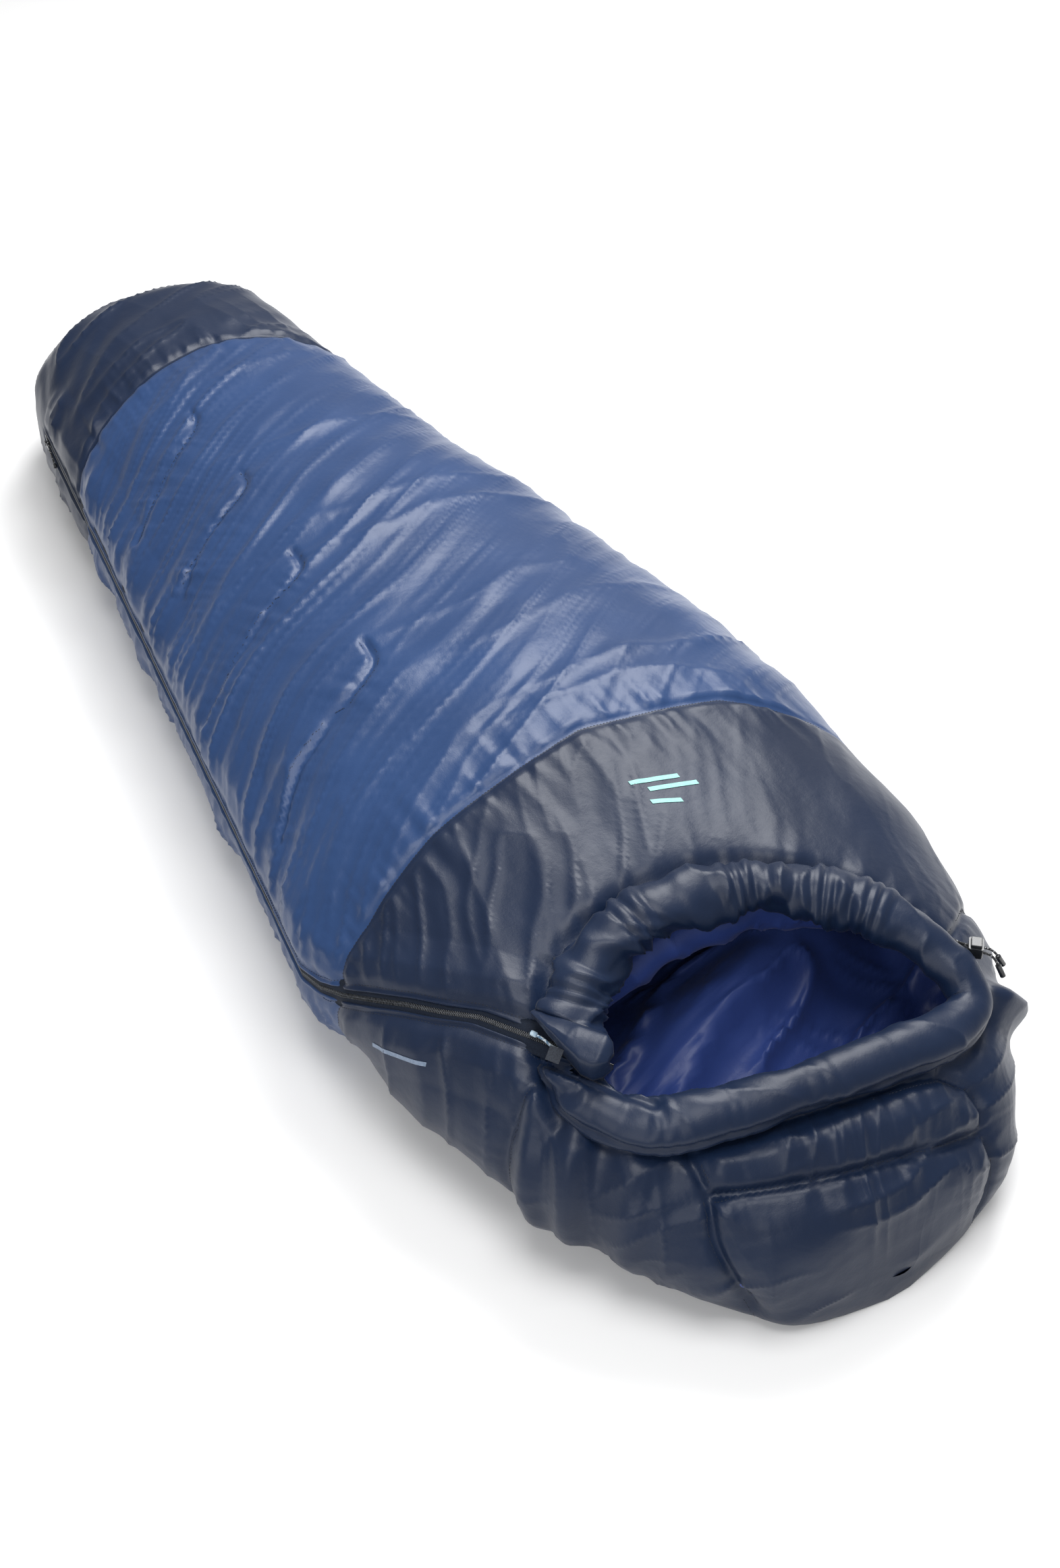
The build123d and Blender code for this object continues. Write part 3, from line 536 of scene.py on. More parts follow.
def skin_relief(grid, rows, above, below):
    """How far the outer cloth stands out of the plain shape, point by point."""
    tree = surface_tree(grid, False)
    points = grid.reshape(-1, 3)
    shape = grid.shape[:2]
    x, y, z = (grid[..., k] for k in range(3))
    row = np.broadcast_to(rows[:, None], shape)
    near = np.minimum(above, below)
    upper = above < below
    free = smoothstep(0.004, 0.05, z)
    past_chest = smoothstep(CHEST_SEAM - 0.01, CHEST_SEAM + 0.02, row)
    body = past_chest * (1 - smoothstep(FOOT_SEAM - 0.02, FOOT_SEAM + 0.01, row))
    foot = smoothstep(FOOT_SEAM - 0.005, FOOT_SEAM + 0.015, row)
    chest = 1 - smoothstep(CHEST_SEAM - 0.015, CHEST_SEAM + 0.005, row)

    # broad swells
    relief = 0.006 * noise(x / 0.20 + 5, y / 0.24, 1) + 0.0022 * noise(x / 0.07, y / 0.085 + 3, 2)

    # mid body: long folds that fan up from the zip towards the foot, and soft cross ripples
    reach = np.where(upper, above, -below)
    slanted = y - 0.62 * np.sign(reach) * np.abs(reach) ** 1.02
    bend = 0.03 * noise(x / 0.25, y / 0.35, 4)
    fan = ridges((slanted + bend) / 0.046, reach / 0.42 + 7, 5)
    fan = fan + 0.55 * ridges((slanted + bend) / 0.021, reach / 0.25, 6)
    fan_reach = np.exp(-np.maximum(reach, 0) / 0.26) + 0.18
    relief += body * fan_reach * 0.0056 * fan
    relief += body * fan_reach * 0.0013 * ridges((slanted + bend) / 0.0105, reach / 0.14, 7)
    ripple = ridges((y + 0.02 * noise(x / 0.12, y / 0.3, 8)) / 0.052, x / 0.40, 9)
    relief += body * (1 - np.exp(-near / 0.25)) * 0.0030 * ripple

    # foot section: pleats that fan from the zip and from its seam
    centre_y = 0.80
    turn = np.arctan2(y - centre_y - 0.9 * (reach - 0.2), reach + 0.12)
    pleats = ridges((y - 0.45 * reach + 0.02 * noise(x / 0.1, y / 0.1, 11)) / 0.034, reach / 0.22, 12)
    cross = ridges((x + 0.25 * y) / 0.040, y / 0.16, 13)
    at_seam = np.exp(-np.abs(row - FOOT_SEAM) / 0.10)
    relief += foot * (0.0048 * pleats * (0.35 + np.exp(-near / 0.20)) + 0.0030 * cross * at_seam)
    relief += foot * 0.0020 * noise(turn * 9, near / 0.1, 14)

    # chest: calm, with soft hollows running from the zip's shoulder bend towards the rim
    bendward = ridges((x - 0.35 * y + 0.02 * noise(x / 0.1, y / 0.2, 15)) / 0.060, (y + 0.4 * x) / 0.30, 16)
    left = 1 - smoothstep(-0.16, 0.10, x)
    relief += chest * (0.0008 + 0.0016 * left) * bendward * free
    streaks = ridges((x - 0.55 * y + 0.012 * noise(x / 0.06, y / 0.1, 41)) / 0.024, (y + 0.5 * x) / 0.16, 42)
    relief += chest * (0.0006 + 0.0016 * left) * streaks * free
    hood = 1 - smoothstep(-0.80, -0.70, y)
    relief += hood * 0.0026 * ridges((z * 1.4 + y) / 0.050 + 0.4 * noise(x / 0.1, y / 0.1, 17), x / 0.18, 18)

    relief *= free * smoothstep(0.010, 0.055, near) * 0.92 + 0.08 * free

    # the cloth beside the zip: a rolled edge, its stitching, then the padding's swell
    live = (1 - smoothstep(ZIP_FOOT[1] - 0.002, ZIP_FOOT[1] + 0.012, y)) * smoothstep(-0.79, -0.765, y)
    relief += live * np.interp(near, *zip(*ZIP_EDGE))
    along_zip = y / 0.014
    relief += live * 0.0011 * noise(along_zip, near / 0.012, 19) * np.exp(-((near - 0.022) / 0.012) ** 2)

    # cross seams
    for seam, seed, depth in ((FOOT_SEAM, 21, 0.0075), (CHEST_SEAM, 25, 0.0055)):
        distance = np.abs(row - seam)
        relief += crease(distance, depth, 0.0065) * free
        relief += gathers(distance, x + 0.6 * z, 0.040, 0.0042, 0.020, seed) * free

    # stitched lines
    for k, line in enumerate(SIDE_STITCHES):
        distance, place = (v.reshape(shape) for v in along_line(points, laid_on(tree, line, 40)))
        relief += crease(distance, 0.0060, 0.0060)
        relief += gathers(distance, place, 0.030, 0.0036, 0.017, 31 + 2 * k)
    deepest = np.zeros(shape)
    for k, (line, depth, hollow) in enumerate(HOOD_SEAMS):
        distance, place = (v.reshape(shape) for v in along_line(points, laid_on(tree, line, 60)))
        deepest = np.minimum(deepest, crease(distance, depth, 0.0070) + crease(distance, hollow, 0.030))
        relief += gathers(distance, place, 0.034, 0.0030, 0.021, 51 + 2 * k) * free
    relief += deepest * free
    for line, height, width in FOLDS:
        distance, _ = (v.reshape(shape) for v in along_line(points, laid_on(tree, line, 40)))
        relief += height * np.exp(-(distance / width) ** 2) * free

    # the valley where the cloth is sewn to the rim
    distance, place = (v.reshape(shape) for v in along_line(points, np.vstack([RIM, RIM[:1]])))
    relief -= 0.010 * np.exp(-((distance - RIM_VALLEY) / 0.014) ** 2)
    relief += gathers(np.maximum(distance - RIM_VALLEY, 0), place, 0.045, 0.0050, 0.024, 71)
    return relief


# ==== materials
def principled(name, colour, roughness, metallic=0.0, sheen=0.0, coat=0.0, specular=0.5):
    material = bpy.data.materials.new(name)
    material.use_nodes = True
    shader = material.node_tree.nodes["Principled BSDF"]
    shader.inputs["Base Color"].default_value = (*colour, 1)
    shader.inputs["Roughness"].default_value = roughness
    shader.inputs["Metallic"].default_value = metallic
    shader.inputs["Sheen Weight"].default_value = sheen
    shader.inputs["Sheen Roughness"].default_value = 0.4
    shader.inputs["Coat Weight"].default_value = coat
    shader.inputs["Coat Roughness"].default_value = 0.35
    shader.inputs["Specular IOR Level"].default_value = specular
    return material


def noise_texture(material, scale, detail):
    """A noise texture in object space."""
    nodes, links = material.node_tree.nodes, material.node_tree.links
    place = nodes.new("ShaderNodeTexCoord")
    texture = nodes.new("ShaderNodeTexNoise")
    texture.inputs["Scale"].default_value = scale
    texture.inputs["Detail"].default_value = detail
    links.new(place.outputs["Object"], texture.inputs["Vector"])
    return texture


def speckled(material, colour, other, low, high, scale):
    """Varies a material's colour between two tones."""
    nodes, links = material.node_tree.nodes, material.node_tree.links
    texture = noise_texture(material, scale, 2.0)
    ramp = nodes.new("ShaderNodeValToRGB")
    ramp.color_ramp.elements[0].position = low
    ramp.color_ramp.elements[1].position = high
    ramp.color_ramp.elements[0].color = (*colour, 1)
    ramp.color_ramp.elements[1].color = (*other, 1)
    links.new(texture.outputs["Fac"], ramp.inputs["Fac"])
    links.new(ramp.outputs["Color"], nodes["Principled BSDF"].inputs["Base Color"])


def bumped(material, scale, detail, strength, distance, under=None):
    """A bump on a material, on top of another bump if one is given."""
    nodes, links = material.node_tree.nodes, material.node_tree.links
    texture = noise_texture(material, scale, detail)
    bump = nodes.new("ShaderNodeBump")
    bump.inputs["Strength"].default_value = strength
    bump.inputs["Distance"].default_value = distance
    links.new(texture.outputs["Fac"], bump.inputs["Height"])
    if under:
        links.new(under.outputs["Normal"], bump.inputs["Normal"])
    links.new(bump.outputs["Normal"], nodes["Principled BSDF"].inputs["Normal"])
    return bump


def cloth(name, colour, other, roughness, sheen):
    """Smooth woven nylon: slow changes of tone, fine weave, crinkle and a soft sheen."""
    material = principled(name, colour, roughness, sheen=sheen, specular=0.30)
    speckled(material, colour, other, 0.35, 0.70, 6.0)
    weave = bumped(material, 620.0, 1.0, 0.25, 0.0003)
    bumped(material, 48.0, 4.0, 0.45, 0.0016, under=weave)
    return material


NAVY = cloth("navy_cloth", (0.0042, 0.0115, 0.0340), (0.0056, 0.0145, 0.0410), 0.40, 0.03)
BLUE = cloth("blue_cloth", (0.0150, 0.0400, 0.1150), (0.0185, 0.0480, 0.1350), 0.36, 0.04)
LINING = cloth("liner_cloth", (0.0280, 0.0540, 0.2100), (0.0360, 0.0660, 0.2500), 0.40, 0.06)
TAPE = principled("zip_tape", (0.005, 0.009, 0.018), 0.8, sheen=0.05, specular=0.2)
speckled(TAPE, (0.004, 0.007, 0.015), (0.007, 0.012, 0.024), 0.4, 0.6, 900)
COIL = principled("zip_coil", (0.030, 0.034, 0.042), 0.30, coat=0.4)
speckled(COIL, (0.020, 0.024, 0.032), (0.075, 0.083, 0.095), 0.45, 0.75, 260)
STITCH = principled("stitching", (0.010, 0.014, 0.026), 0.7)
speckled(STITCH, (0.008, 0.011, 0.022), (0.016, 0.021, 0.034), 0.4, 0.6, 500)
METAL = principled("slider_enamel", (0.016, 0.018, 0.022), 0.32, metallic=0.35, coat=0.5)
speckled(METAL, (0.014, 0.016, 0.020), (0.024, 0.027, 0.032), 0.4, 0.6, 300)
PLASTIC = principled("black_plastic", (0.010, 0.011, 0.013), 0.28, coat=0.35)
speckled(PLASTIC, (0.009, 0.010, 0.012), (0.014, 0.016, 0.019), 0.4, 0.6, 120)
SPRING = principled("spring_steel", (0.55, 0.56, 0.58), 0.25, metallic=1.0)
speckled(SPRING, (0.50, 0.51, 0.53), (0.60, 0.61, 0.63), 0.4, 0.6, 300)
WEBBING = principled("webbing", (0.012, 0.016, 0.026), 0.8, sheen=0.3)
speckled(WEBBING, (0.010, 0.013, 0.022), (0.020, 0.026, 0.038), 0.4, 0.6, 700)
PULL_CORD = principled("pull_cord", (0.20, 0.33, 0.45), 0.7, sheen=0.3)
speckled(PULL_CORD, (0.10, 0.20, 0.32), (0.62, 0.70, 0.76), 0.48, 0.56, 420)
STRAND = principled("strand_cord", (0.012, 0.013, 0.016), 0.65, sheen=0.2)
speckled(STRAND, (0.010, 0.011, 0.014), (0.50, 0.52, 0.54), 0.60, 0.64, 520)
KNOB = principled("pull_knob", (0.36, 0.48, 0.58), 0.5)
speckled(KNOB, (0.30, 0.42, 0.53), (0.48, 0.60, 0.68), 0.4, 0.6, 200)
MINT = principled("mint_print", (0.22, 0.50, 0.46), 0.5)
speckled(MINT, (0.21, 0.48, 0.44), (0.25, 0.54, 0.50), 0.4, 0.6, 300)
SLATE = principled("slate_print", (0.15, 0.20, 0.29), 0.5)
speckled(SLATE, (0.14, 0.19, 0.27), (0.18, 0.23, 0.32), 0.4, 0.6, 300)
for material in (TAPE, WEBBING, PULL_CORD, STRAND):
    bumped(material, 1400, 3.0, 0.4, 0.0003)


# ==== outer cloth
def grid_piece(name, points, normals, chosen, inward=False):
    """A mesh of the chosen cells of a grid whose last column meets its first."""
    rows, columns = points.shape[:2]
    cell_row, cell_column = np.nonzero(chosen)
    right = (cell_column + 1) % columns
    corners = np.stack([cell_row * columns + cell_column, cell_row * columns + right,
                        (cell_row + 1) * columns + right, (cell_row + 1) * columns + cell_column], 1)
    if inward:
        corners = corners[:, ::-1]
    corners[corners < columns] = 0
    corners[corners >= (rows - 1) * columns] = (rows - 1) * columns
    used, faces = np.unique(corners, return_inverse=True)
    faces = [tuple(dict.fromkeys(face)) for face in faces.reshape(-1, 4).tolist()]
    piece = new_mesh(name, points.reshape(-1, 3)[used], faces)
    piece.data.normals_split_custom_set_from_vertices([tuple(n) for n in normals.reshape(-1, 3)[used]])
    return piece


def closed(points):
    """A grid without its repeated last column, drawn in to a point at both ends, and its outward normals."""
    points = points[:, :-1].copy()
    points[0] = points[0].mean(0)
    points[-1] = points[-1].mean(0)
    normals = grid_normals(np.concatenate([points, points[:, :1]], 1))[:, :-1]
    normals[0], normals[-1] = (0, -1, 0), (0, 1, 0)
    return points, normals


def cells(points, rows):
    """The middle of each cell, its place along the bag, and whether the face opening takes it away."""
    middles = (points[:-1] + points[1:]) / 2
    middles = (middles + np.roll(middles, -1, 1)) / 2
    places = np.broadcast_to(((rows[:-1] + rows[1:]) / 2)[:, None], middles.shape[:2])
    taken = inside_loop(middles[..., 0], middles[..., 1], RIM[:, :2]) & (middles[..., 2] > OPENING_ABOVE)
    return middles, places, taken


base, shell_rows, above, below = surface_grid(0.0, 0.0048, 0.0066, 330)
base_normals = grid_normals(base)
relief = skin_relief(base, shell_rows, above, below)
shell = base + base_normals * relief[..., None]
shell[..., 2] = np.maximum(shell[..., 2], 0.0008)
shell[..., 1] = np.clip(shell[..., 1], -1.052, 1.052)
above, below = above[:, :-1], below[:, :-1]
shell, shell_normals = closed(shell)

centre, cell_row, opening = cells(shell, shell_rows)
cx, cy, cz = (centre[..., k] for k in range(3))
is_foot = cell_row > FOOT_SEAM
is_body = (cell_row > CHEST_SEAM) & ~is_foot
is_over = (above[:-1] < OVER_SHARE * (above + below)[:-1])
is_chest = (cell_row < CHEST_SEAM) & (cy > HOOD_BEYOND)
is_hood = (cell_row < CHEST_SEAM) & ~is_chest
is_crown = is_hood & (cx >= CROWN_FROM) & (cx <= CROWN_TO)
above_middle = cz > 0.165 - 0.06 * (cx - CROWN_FROM)
panels = {
    "shell_foot": is_foot,
    "shell_body_top": is_body & is_over,
    "shell_body_bottom": is_body & ~is_over,
    "shell_chest": is_chest,
    "shell_hood_left": is_hood & (cx < CROWN_FROM),
    "shell_hood_right": is_hood & (cx > CROWN_TO),
    "shell_crown_upper": is_crown & above_middle,
    "shell_crown_lower": is_crown & ~above_middle,
}
for name, chosen in panels.items():
    material, slot = (BLUE, "blue_shell") if "body" in name else (NAVY, "navy_shell")
    stood_for = [node for node in (name, name.replace("shell", "fill")) if node in NODES]
    piece = grid_piece(name + "_cloth", shell, shell_normals, chosen & ~opening)
    dress(piece, material, slot, *stood_for, fill=0.7)

# ==== padded rim
RIM_AROUND = 44
ahead = unit(np.roll(RIM, -1, 0) - np.roll(RIM, 1, 0))
middle = RIM.mean(0)
level = unit(np.array([0.0, -0.17, 0.98]))
outwards = unit(np.cross(ahead, level))
outwards *= np.sign(np.sum(outwards * (RIM - middle), 1))[:, None]
upwards = unit(np.cross(ahead, outwards))
upwards *= np.sign(upwards[:, 2:])
rim_step = np.linalg.norm(np.roll(RIM, -1, 0) - RIM, axis=1)
rim_place = np.concatenate([[0], np.cumsum(rim_step)[:-1]])
rim_whole = rim_step.sum()
phi = np.linspace(0, 2 * np.pi, RIM_AROUND, endpoint=False)
S, F = np.meshgrid(rim_place, phi, indexing="ij")
chestward = smoothstep(-0.82, -0.72, RIM[:, 1])[:, None]


def round_rim(travel):
    """Two coordinates for noise that meets where the rim closes."""
    turn = 2 * np.pi * travel / rim_whole
    return rim_whole / (2 * np.pi) * np.cos(turn), rim_whole / (2 * np.pi) * np.sin(turn)


wrap_x, wrap_y = round_rim(S)
slant = 0.5 * np.sin(F) + 0.3 * noise(wrap_x / 0.07, wrap_y / 0.07, 81)
gather = round(rim_whole / RIM_GATHER) * (S + RIM_GATHER * slant) / rim_whole
ring = np.abs(np.sin(np.pi * (gather + 1.6 * noise(wrap_x / 0.045, wrap_y / 0.045, 82))))
lumps = noise(wrap_x / 0.055, wrap_y / 0.055 + np.sin(F), 83)
small = noise(wrap_x / 0.018 + 0.7 * np.cos(F), wrap_y / 0.018 + 0.9 * np.sin(F), 84)
radius = RIM_RADIUS * (0.98 + 0.05 * chestward) + 0.0042 * lumps + (0.0012 + 0.0016 * chestward) * small
twist = S + 0.040 * np.sin(F + 0.6) + 0.015 * noise(wrap_x / 0.06, wrap_y / 0.06 + np.cos(F), 86)
twist_x, twist_y = round_rim(twist)
swirl = ridges(twist_x / 0.034 + 0.5 * np.cos(F), twist_y / 0.034 + 0.5 * np.sin(F), 87)
radius += (0.0016 + 0.0026 * chestward) * swirl
patches = 0.6 + 0.6 * noise(wrap_x / 0.09, wrap_y / 0.09, 85)
radius += (0.0012 + 0.0040 * chestward) * (ring - 0.72) * patches
seam_side = np.exp(-((F - 0.05) % (2 * np.pi) / 0.22) ** 2) + np.exp(-(((0.05 - F) % (2 * np.pi)) / 0.22) ** 2)
radius -= 0.006 * seam_side
squeeze = np.where(np.sin(F) < 0, 0.85, 0.86 + 0.08 * chestward)
rim_points = (RIM[:, None] + (radius * np.cos(F) * (1.06 + 0.16 * chestward))[..., None] * outwards[:, None]
              + (radius * np.sin(F) * squeeze)[..., None] * upwards[:, None])
# room for the zip's top end and its slider
away = rim_points - TOP_END
across_zip, out_zip, along_zip = (away @ axis for axis in (TOP_ACROSS, TOP_OUT, TOP_ALONG))
notch = 1 - smoothstep(0.0195, 0.030, np.abs(across_zip))
notch = notch * smoothstep(-0.120, -0.110, along_zip) * (1 - smoothstep(0.060, 0.075, along_zip))
rim_points -= (notch * np.maximum(out_zip + 0.0085, 0))[..., None] * TOP_OUT


def ring_piece(name, points, first, last):
    """Part of a closed tube, from one ring to another."""
    part = points[np.arange(first, last + 1) % len(points)]
    return new_mesh(name, part.reshape(-1, 3), tube_faces(*part.shape[:2]))


left_end = int(np.argmin(RIM[:, 0]))
right_end = int(np.argmax(RIM[:, 0]))
upper_rim = ring_piece("rim_upper_cloth", rim_points, left_end, right_end)
lower_rim = ring_piece("rim_lower_cloth", rim_points, right_end, left_end + len(RIM))
dress(upper_rim, NAVY, "navy_shell", "face_rim_upper", "hood_drawcord", fill=0.8)
dress(lower_rim, NAVY, "navy_shell", "face_rim_lower", fill=0.8)

# ==== liner
inner, inner_rows, inner_above, inner_below = surface_grid(
    INNER_INSET, 0.0075, 0.020, 170, np.linspace(0, 0.03, 4))
inner_normals = grid_normals(inner)
ix, iy, iz = (inner[..., k] for k in range(3))
ends = smoothstep(-1.02, -0.96, iy) * (1 - smoothstep(0.96, 1.02, iy))
floor_like = 1 - smoothstep(0.055, 0.12, iz)
bent = iy - 0.45 * ix + 0.03 * noise(ix / 0.1, iy / 0.1, 91)
wrinkle = 0.018 * ridges(bent / 0.048, (ix + 0.4 * iy) / 0.25, 92)
wrinkle += 0.004 * ridges((iy + 0.7 * ix) / 0.030, (ix - 0.7 * iy) / 0.12, 93)
wrinkle += 0.003 * noise(ix / 0.03, iy / 0.03 + iz / 0.03, 94)
heap = 0.075 * np.exp(-((iy + 0.665 - 0.22 * ix) / 0.070) ** 2)
heap = heap * smoothstep(-0.22, 0.05, ix) * (1 - smoothstep(0.2, 0.32, ix))
inner = inner - inner_normals * (wrinkle * (0.35 + 0.65 * floor_like) * ends)[..., None]
inner[..., 2] += heap * floor_like
inner[..., 2] = np.maximum(inner[..., 2], INNER_LOWEST)
inner, inner_normals = closed(inner)
inner_centre, inner_row, hole = cells(inner, inner_rows)
inner_over = inner_above[:-1, :-1] < OVER_SHARE * (inner_above + inner_below)[:-1, :-1]
inner_body = (inner_row > CHEST_SEAM) & (inner_row < FOOT_SEAM)
liners = {
    "liner_foot": inner_row > FOOT_SEAM,
    "liner_body_top": inner_body & inner_over,
    "liner_body_bottom": inner_body & ~inner_over,
    "liner_chest": (inner_row < CHEST_SEAM) & (inner_centre[..., 1] > HOOD_BEYOND),
    "liner_hood": (inner_row < CHEST_SEAM) & (inner_centre[..., 1] <= HOOD_BEYOND),
}
for name, chosen in liners.items():
    piece = grid_piece(name + "_cloth", inner, -inner_normals, chosen & ~hole, inward=True)
    dress(piece, LINING, "blue_liner", name, fill=0.5)


def roll(name, line, radius, stood_for, wrinkles, seed, count=160, around=26):
    """A puffy roll of the liner's cloth along a line, closed and narrowing at both ends."""
    line = smooth_line(line, count)
    ahead = unit(np.gradient(line, axis=0))
    side = unit(np.cross(ahead, (0.0, 0.0, 1.0)))
    up = np.cross(side, ahead)
    place = np.linspace(0, 1, count)
    travel = place * np.linalg.norm(np.diff(line, axis=0), axis=1).sum()
    ending = np.sqrt(np.clip(1 - (2 * place - 1) ** 12, 0.001, 1))
    turn = np.linspace(0, 2 * np.pi, around, endpoint=False)
    T, F = np.meshgrid(travel, turn, indexing="ij")
    crumple = ridges((T + 0.02 * np.sin(F + 1)) / 0.030, F / 2.2, seed)
    crumple = crumple + 0.6 * noise(T / 0.05, np.cos(F) + 2, seed + 1)
    r = radius * ending[:, None] + wrinkles * crumple * ending[:, None]
    points = (line[:, None] + (r * np.cos(F))[..., None] * side[:, None]
              + (r * np.sin(F))[..., None] * up[:, None])
    points[0], points[-1] = line[0], line[-1]
    piece = new_mesh(name, points.reshape(-1, 3), tube_faces(count, around))
    dress(piece, LINING, "blue_liner", stood_for, fill=0.8)


roll("neck_baffle_cloth", ((-0.215, -0.670, 0.165), (-0.16, -0.648, 0.198), (-0.06, -0.636, 0.214),
                           (0.05, -0.640, 0.213), (0.13, -0.658, 0.200), (0.20, -0.690, 0.165)),
     0.028, "neck_baffle", 0.0042, 101)
tube_box = [np.array(corner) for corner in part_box("draft_tube")]
tube_start = np.array([tube_box[1][0] - 0.021, tube_box[1][1] - 0.004, 0.140])
tube_finish = np.array([tube_box[0][0] + 0.021, tube_box[0][1] + 0.004, 0.140])
roll("draft_tube_cloth", (tube_start, (tube_start + tube_finish) / 2, tube_finish), 0.018, "draft_tube",
     0.0015, 105, count=240, around=16)

# ==== zip tapes and coils; their stitching is laid below with the other stitches
TAPE_REACH = 0.017
COIL_MIDDLE = 0.00125
HALF_WIRE = 0.00042
tape_travel = np.arange(0, ZIP_LENGTH, 0.005)
for name, side in (("upper", 1), ("lower", -1)):
    across = np.array([0.0028, 0.0036, 0.0060, 0.0085, 0.0120, TAPE_REACH]) * side
    sag = np.array([0.0, 0.0, -0.0002, -0.0004, -0.0016, -0.0030])
    T, K = np.meshgrid(tape_travel, np.arange(6), indexing="ij")
    ripple = 0.00025 * noise(T.ravel() / 0.02, K.ravel() / 2.0, 111)
    top = near_zip(T.ravel(), across[K.ravel()], -TAPE_DEPTH + 0.0005 + sag[K.ravel()] + ripple)
    bottom = near_zip(T.ravel(), across[K.ravel()], -TAPE_DEPTH - 0.0005 + sag[K.ravel()] + ripple)
    rows, columns = T.shape
    faces = []
    for i in range(rows - 1):
        for j in range(columns - 1):
            a, b, c, d = i * columns + j, i * columns + j + 1, (i + 1) * columns + j + 1, (i + 1) * columns + j
            faces += [(a, b, c, d), tuple(rows * columns + k for k in (d, c, b, a))]
        for j in (0, columns - 1):
            a, d = i * columns + j, (i + 1) * columns + j
            faces.append((a, d, d + rows * columns, a + rows * columns))
    piece = new_mesh(f"zip_tape_{name}_cloth", np.vstack([top, bottom]), faces)
    dress(piece, TAPE, "zip_tape", f"zip_tape_{name}")

    # one loop of the coil at each pitch, interleaved with the other side's
    starts = np.arange(0.0006 + (0.5 * COIL_PITCH if side > 0 else 0), ZIP_LENGTH - 0.001, COIL_PITCH)
    outline = np.array([(0.0031, -0.0009), (0.0031, 0.0006), (0.0026, 0.0013), (0.0012, 0.0014),
                        (-0.0002, 0.0012), (-0.0006, 0.0004), (-0.0006, -0.0006), (0.0010, -0.0013)])
    vertices, faces = [], []
    for shift, pinch in ((-1, 0.82), (-0.4, 1.0), (0.4, 1.0), (1, 0.82)):
        for reach, lift in outline:
            across_at = side * (COIL_MIDDLE + (reach - COIL_MIDDLE) * pinch)
            vertices.append(near_zip(starts + shift * HALF_WIRE, np.full(len(starts), across_at),
                                     np.full(len(starts), -TAPE_DEPTH + lift * pinch)))
    vertices = np.stack(vertices, 1)
    per, corners = vertices.shape[1], len(outline)
    for i in range(len(starts)):
        for ring_index in range(3):
            for j in range(corners):
                a = i * per + ring_index * corners + j
                b = i * per + ring_index * corners + (j + 1) % corners
                faces.append((a, b, b + corners, a + corners))
        faces.append(tuple(i * per + j for j in range(corners)))
        faces.append(tuple(i * per + 3 * corners + j for j in reversed(range(corners))))
    piece = new_mesh(f"zip_coil_{name}_loops", vertices.reshape(-1, 3), faces)
    dress(piece, COIL, "zip_coil", f"zip_coil_{name}")

# ==== padded flap over the zip's top end
FLAP_ROWS, FLAP_COLUMNS = 56, 26
FLAP_HINGE = 0.029
flap_travel = np.linspace(-0.100, 0.010, FLAP_ROWS)
flap_edge = np.interp(flap_travel, (-0.100, -0.080, -0.060, -0.045, -0.020, -0.005, 0.004, 0.010),
                      (0.021, 0.012, 0.002, -0.008, -0.021, -0.022, -0.015, -0.002))
flap_foot = np.interp(flap_travel, (-0.100, -0.070, -0.040, 0.0, 0.010), (0.004, 0.012, 0.022, 0.025, 0.022))
flap_crest = np.interp(flap_travel, (-0.100, -0.070, -0.040, 0.0, 0.010), (0.014, 0.030, 0.036, 0.036, 0.030))
T, V = np.meshgrid(flap_travel, np.linspace(0, 1, FLAP_COLUMNS), indexing="ij")
flap_side = np.interp(flap_travel, (-0.100, -0.004, 0.004, 0.010),
                      (FLAP_HINGE, FLAP_HINGE, 0.023, 0.010))[:, None]
flap_across = flap_side + (flap_edge[:, None] - flap_side) * V
rise = np.sin(np.pi * np.clip(V * 0.62, 0, 1))
droop = (0.009 + 0.012 * smoothstep(-0.075, -0.040, T)) * smoothstep(0.66, 1.0, V)
flap_out = flap_foot[:, None] + (flap_crest - flap_foot)[:, None] * rise - droop
tau = (T - flap_travel[0]) / (flap_travel[-1] - flap_travel[0])
thick = 0.0062 * np.sqrt(np.clip(1 - np.abs(2 * V - 1) ** 3, 0, 1))
thick = thick * np.sqrt(np.clip(1 - np.abs(2 * tau - 1) ** 6, 0, 1))
crumple = 0.0012 * ridges((T + 0.4 * flap_across) / 0.022, V / 0.8, 121) * np.minimum(1, thick / 0.003)
flap_places = {}
for part, sign in (("top", 1), ("bottom", -1)):
    out = flap_out + sign * thick + crumple
    flap_places[part] = (TOP_END + T.reshape(-1, 1) * TOP_ALONG + flap_across.reshape(-1, 1) * TOP_ACROSS
                         + out.reshape(-1, 1) * TOP_OUT)
faces = []
half = FLAP_ROWS * FLAP_COLUMNS
for i in range(FLAP_ROWS - 1):
    for j in range(FLAP_COLUMNS - 1):
        a, b = i * FLAP_COLUMNS + j, i * FLAP_COLUMNS + j + 1
        c, d = b + FLAP_COLUMNS, a + FLAP_COLUMNS
        faces += [(a, b, c, d), (d + half, c + half, b + half, a + half)]
flap = new_mesh("garage_flap_cloth", np.vstack([flap_places["top"], flap_places["bottom"]]), faces)
welder = flap.modifiers.new("weld", "WELD")
welder.merge_threshold = 0.00005
paint(flap, NAVY)
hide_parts("garage_flap")
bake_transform(flap)

# ==== cords
def slider_frame(end, setback, heading):
    """A slider's own frame in the row frame: origin, across, towards its neck, outward."""
    place, across, out, along = (v[0] for v in zip_at(end))
    origin = place - heading * along * setback - out * TAPE_DEPTH
    return origin, -heading * across, heading * along, out


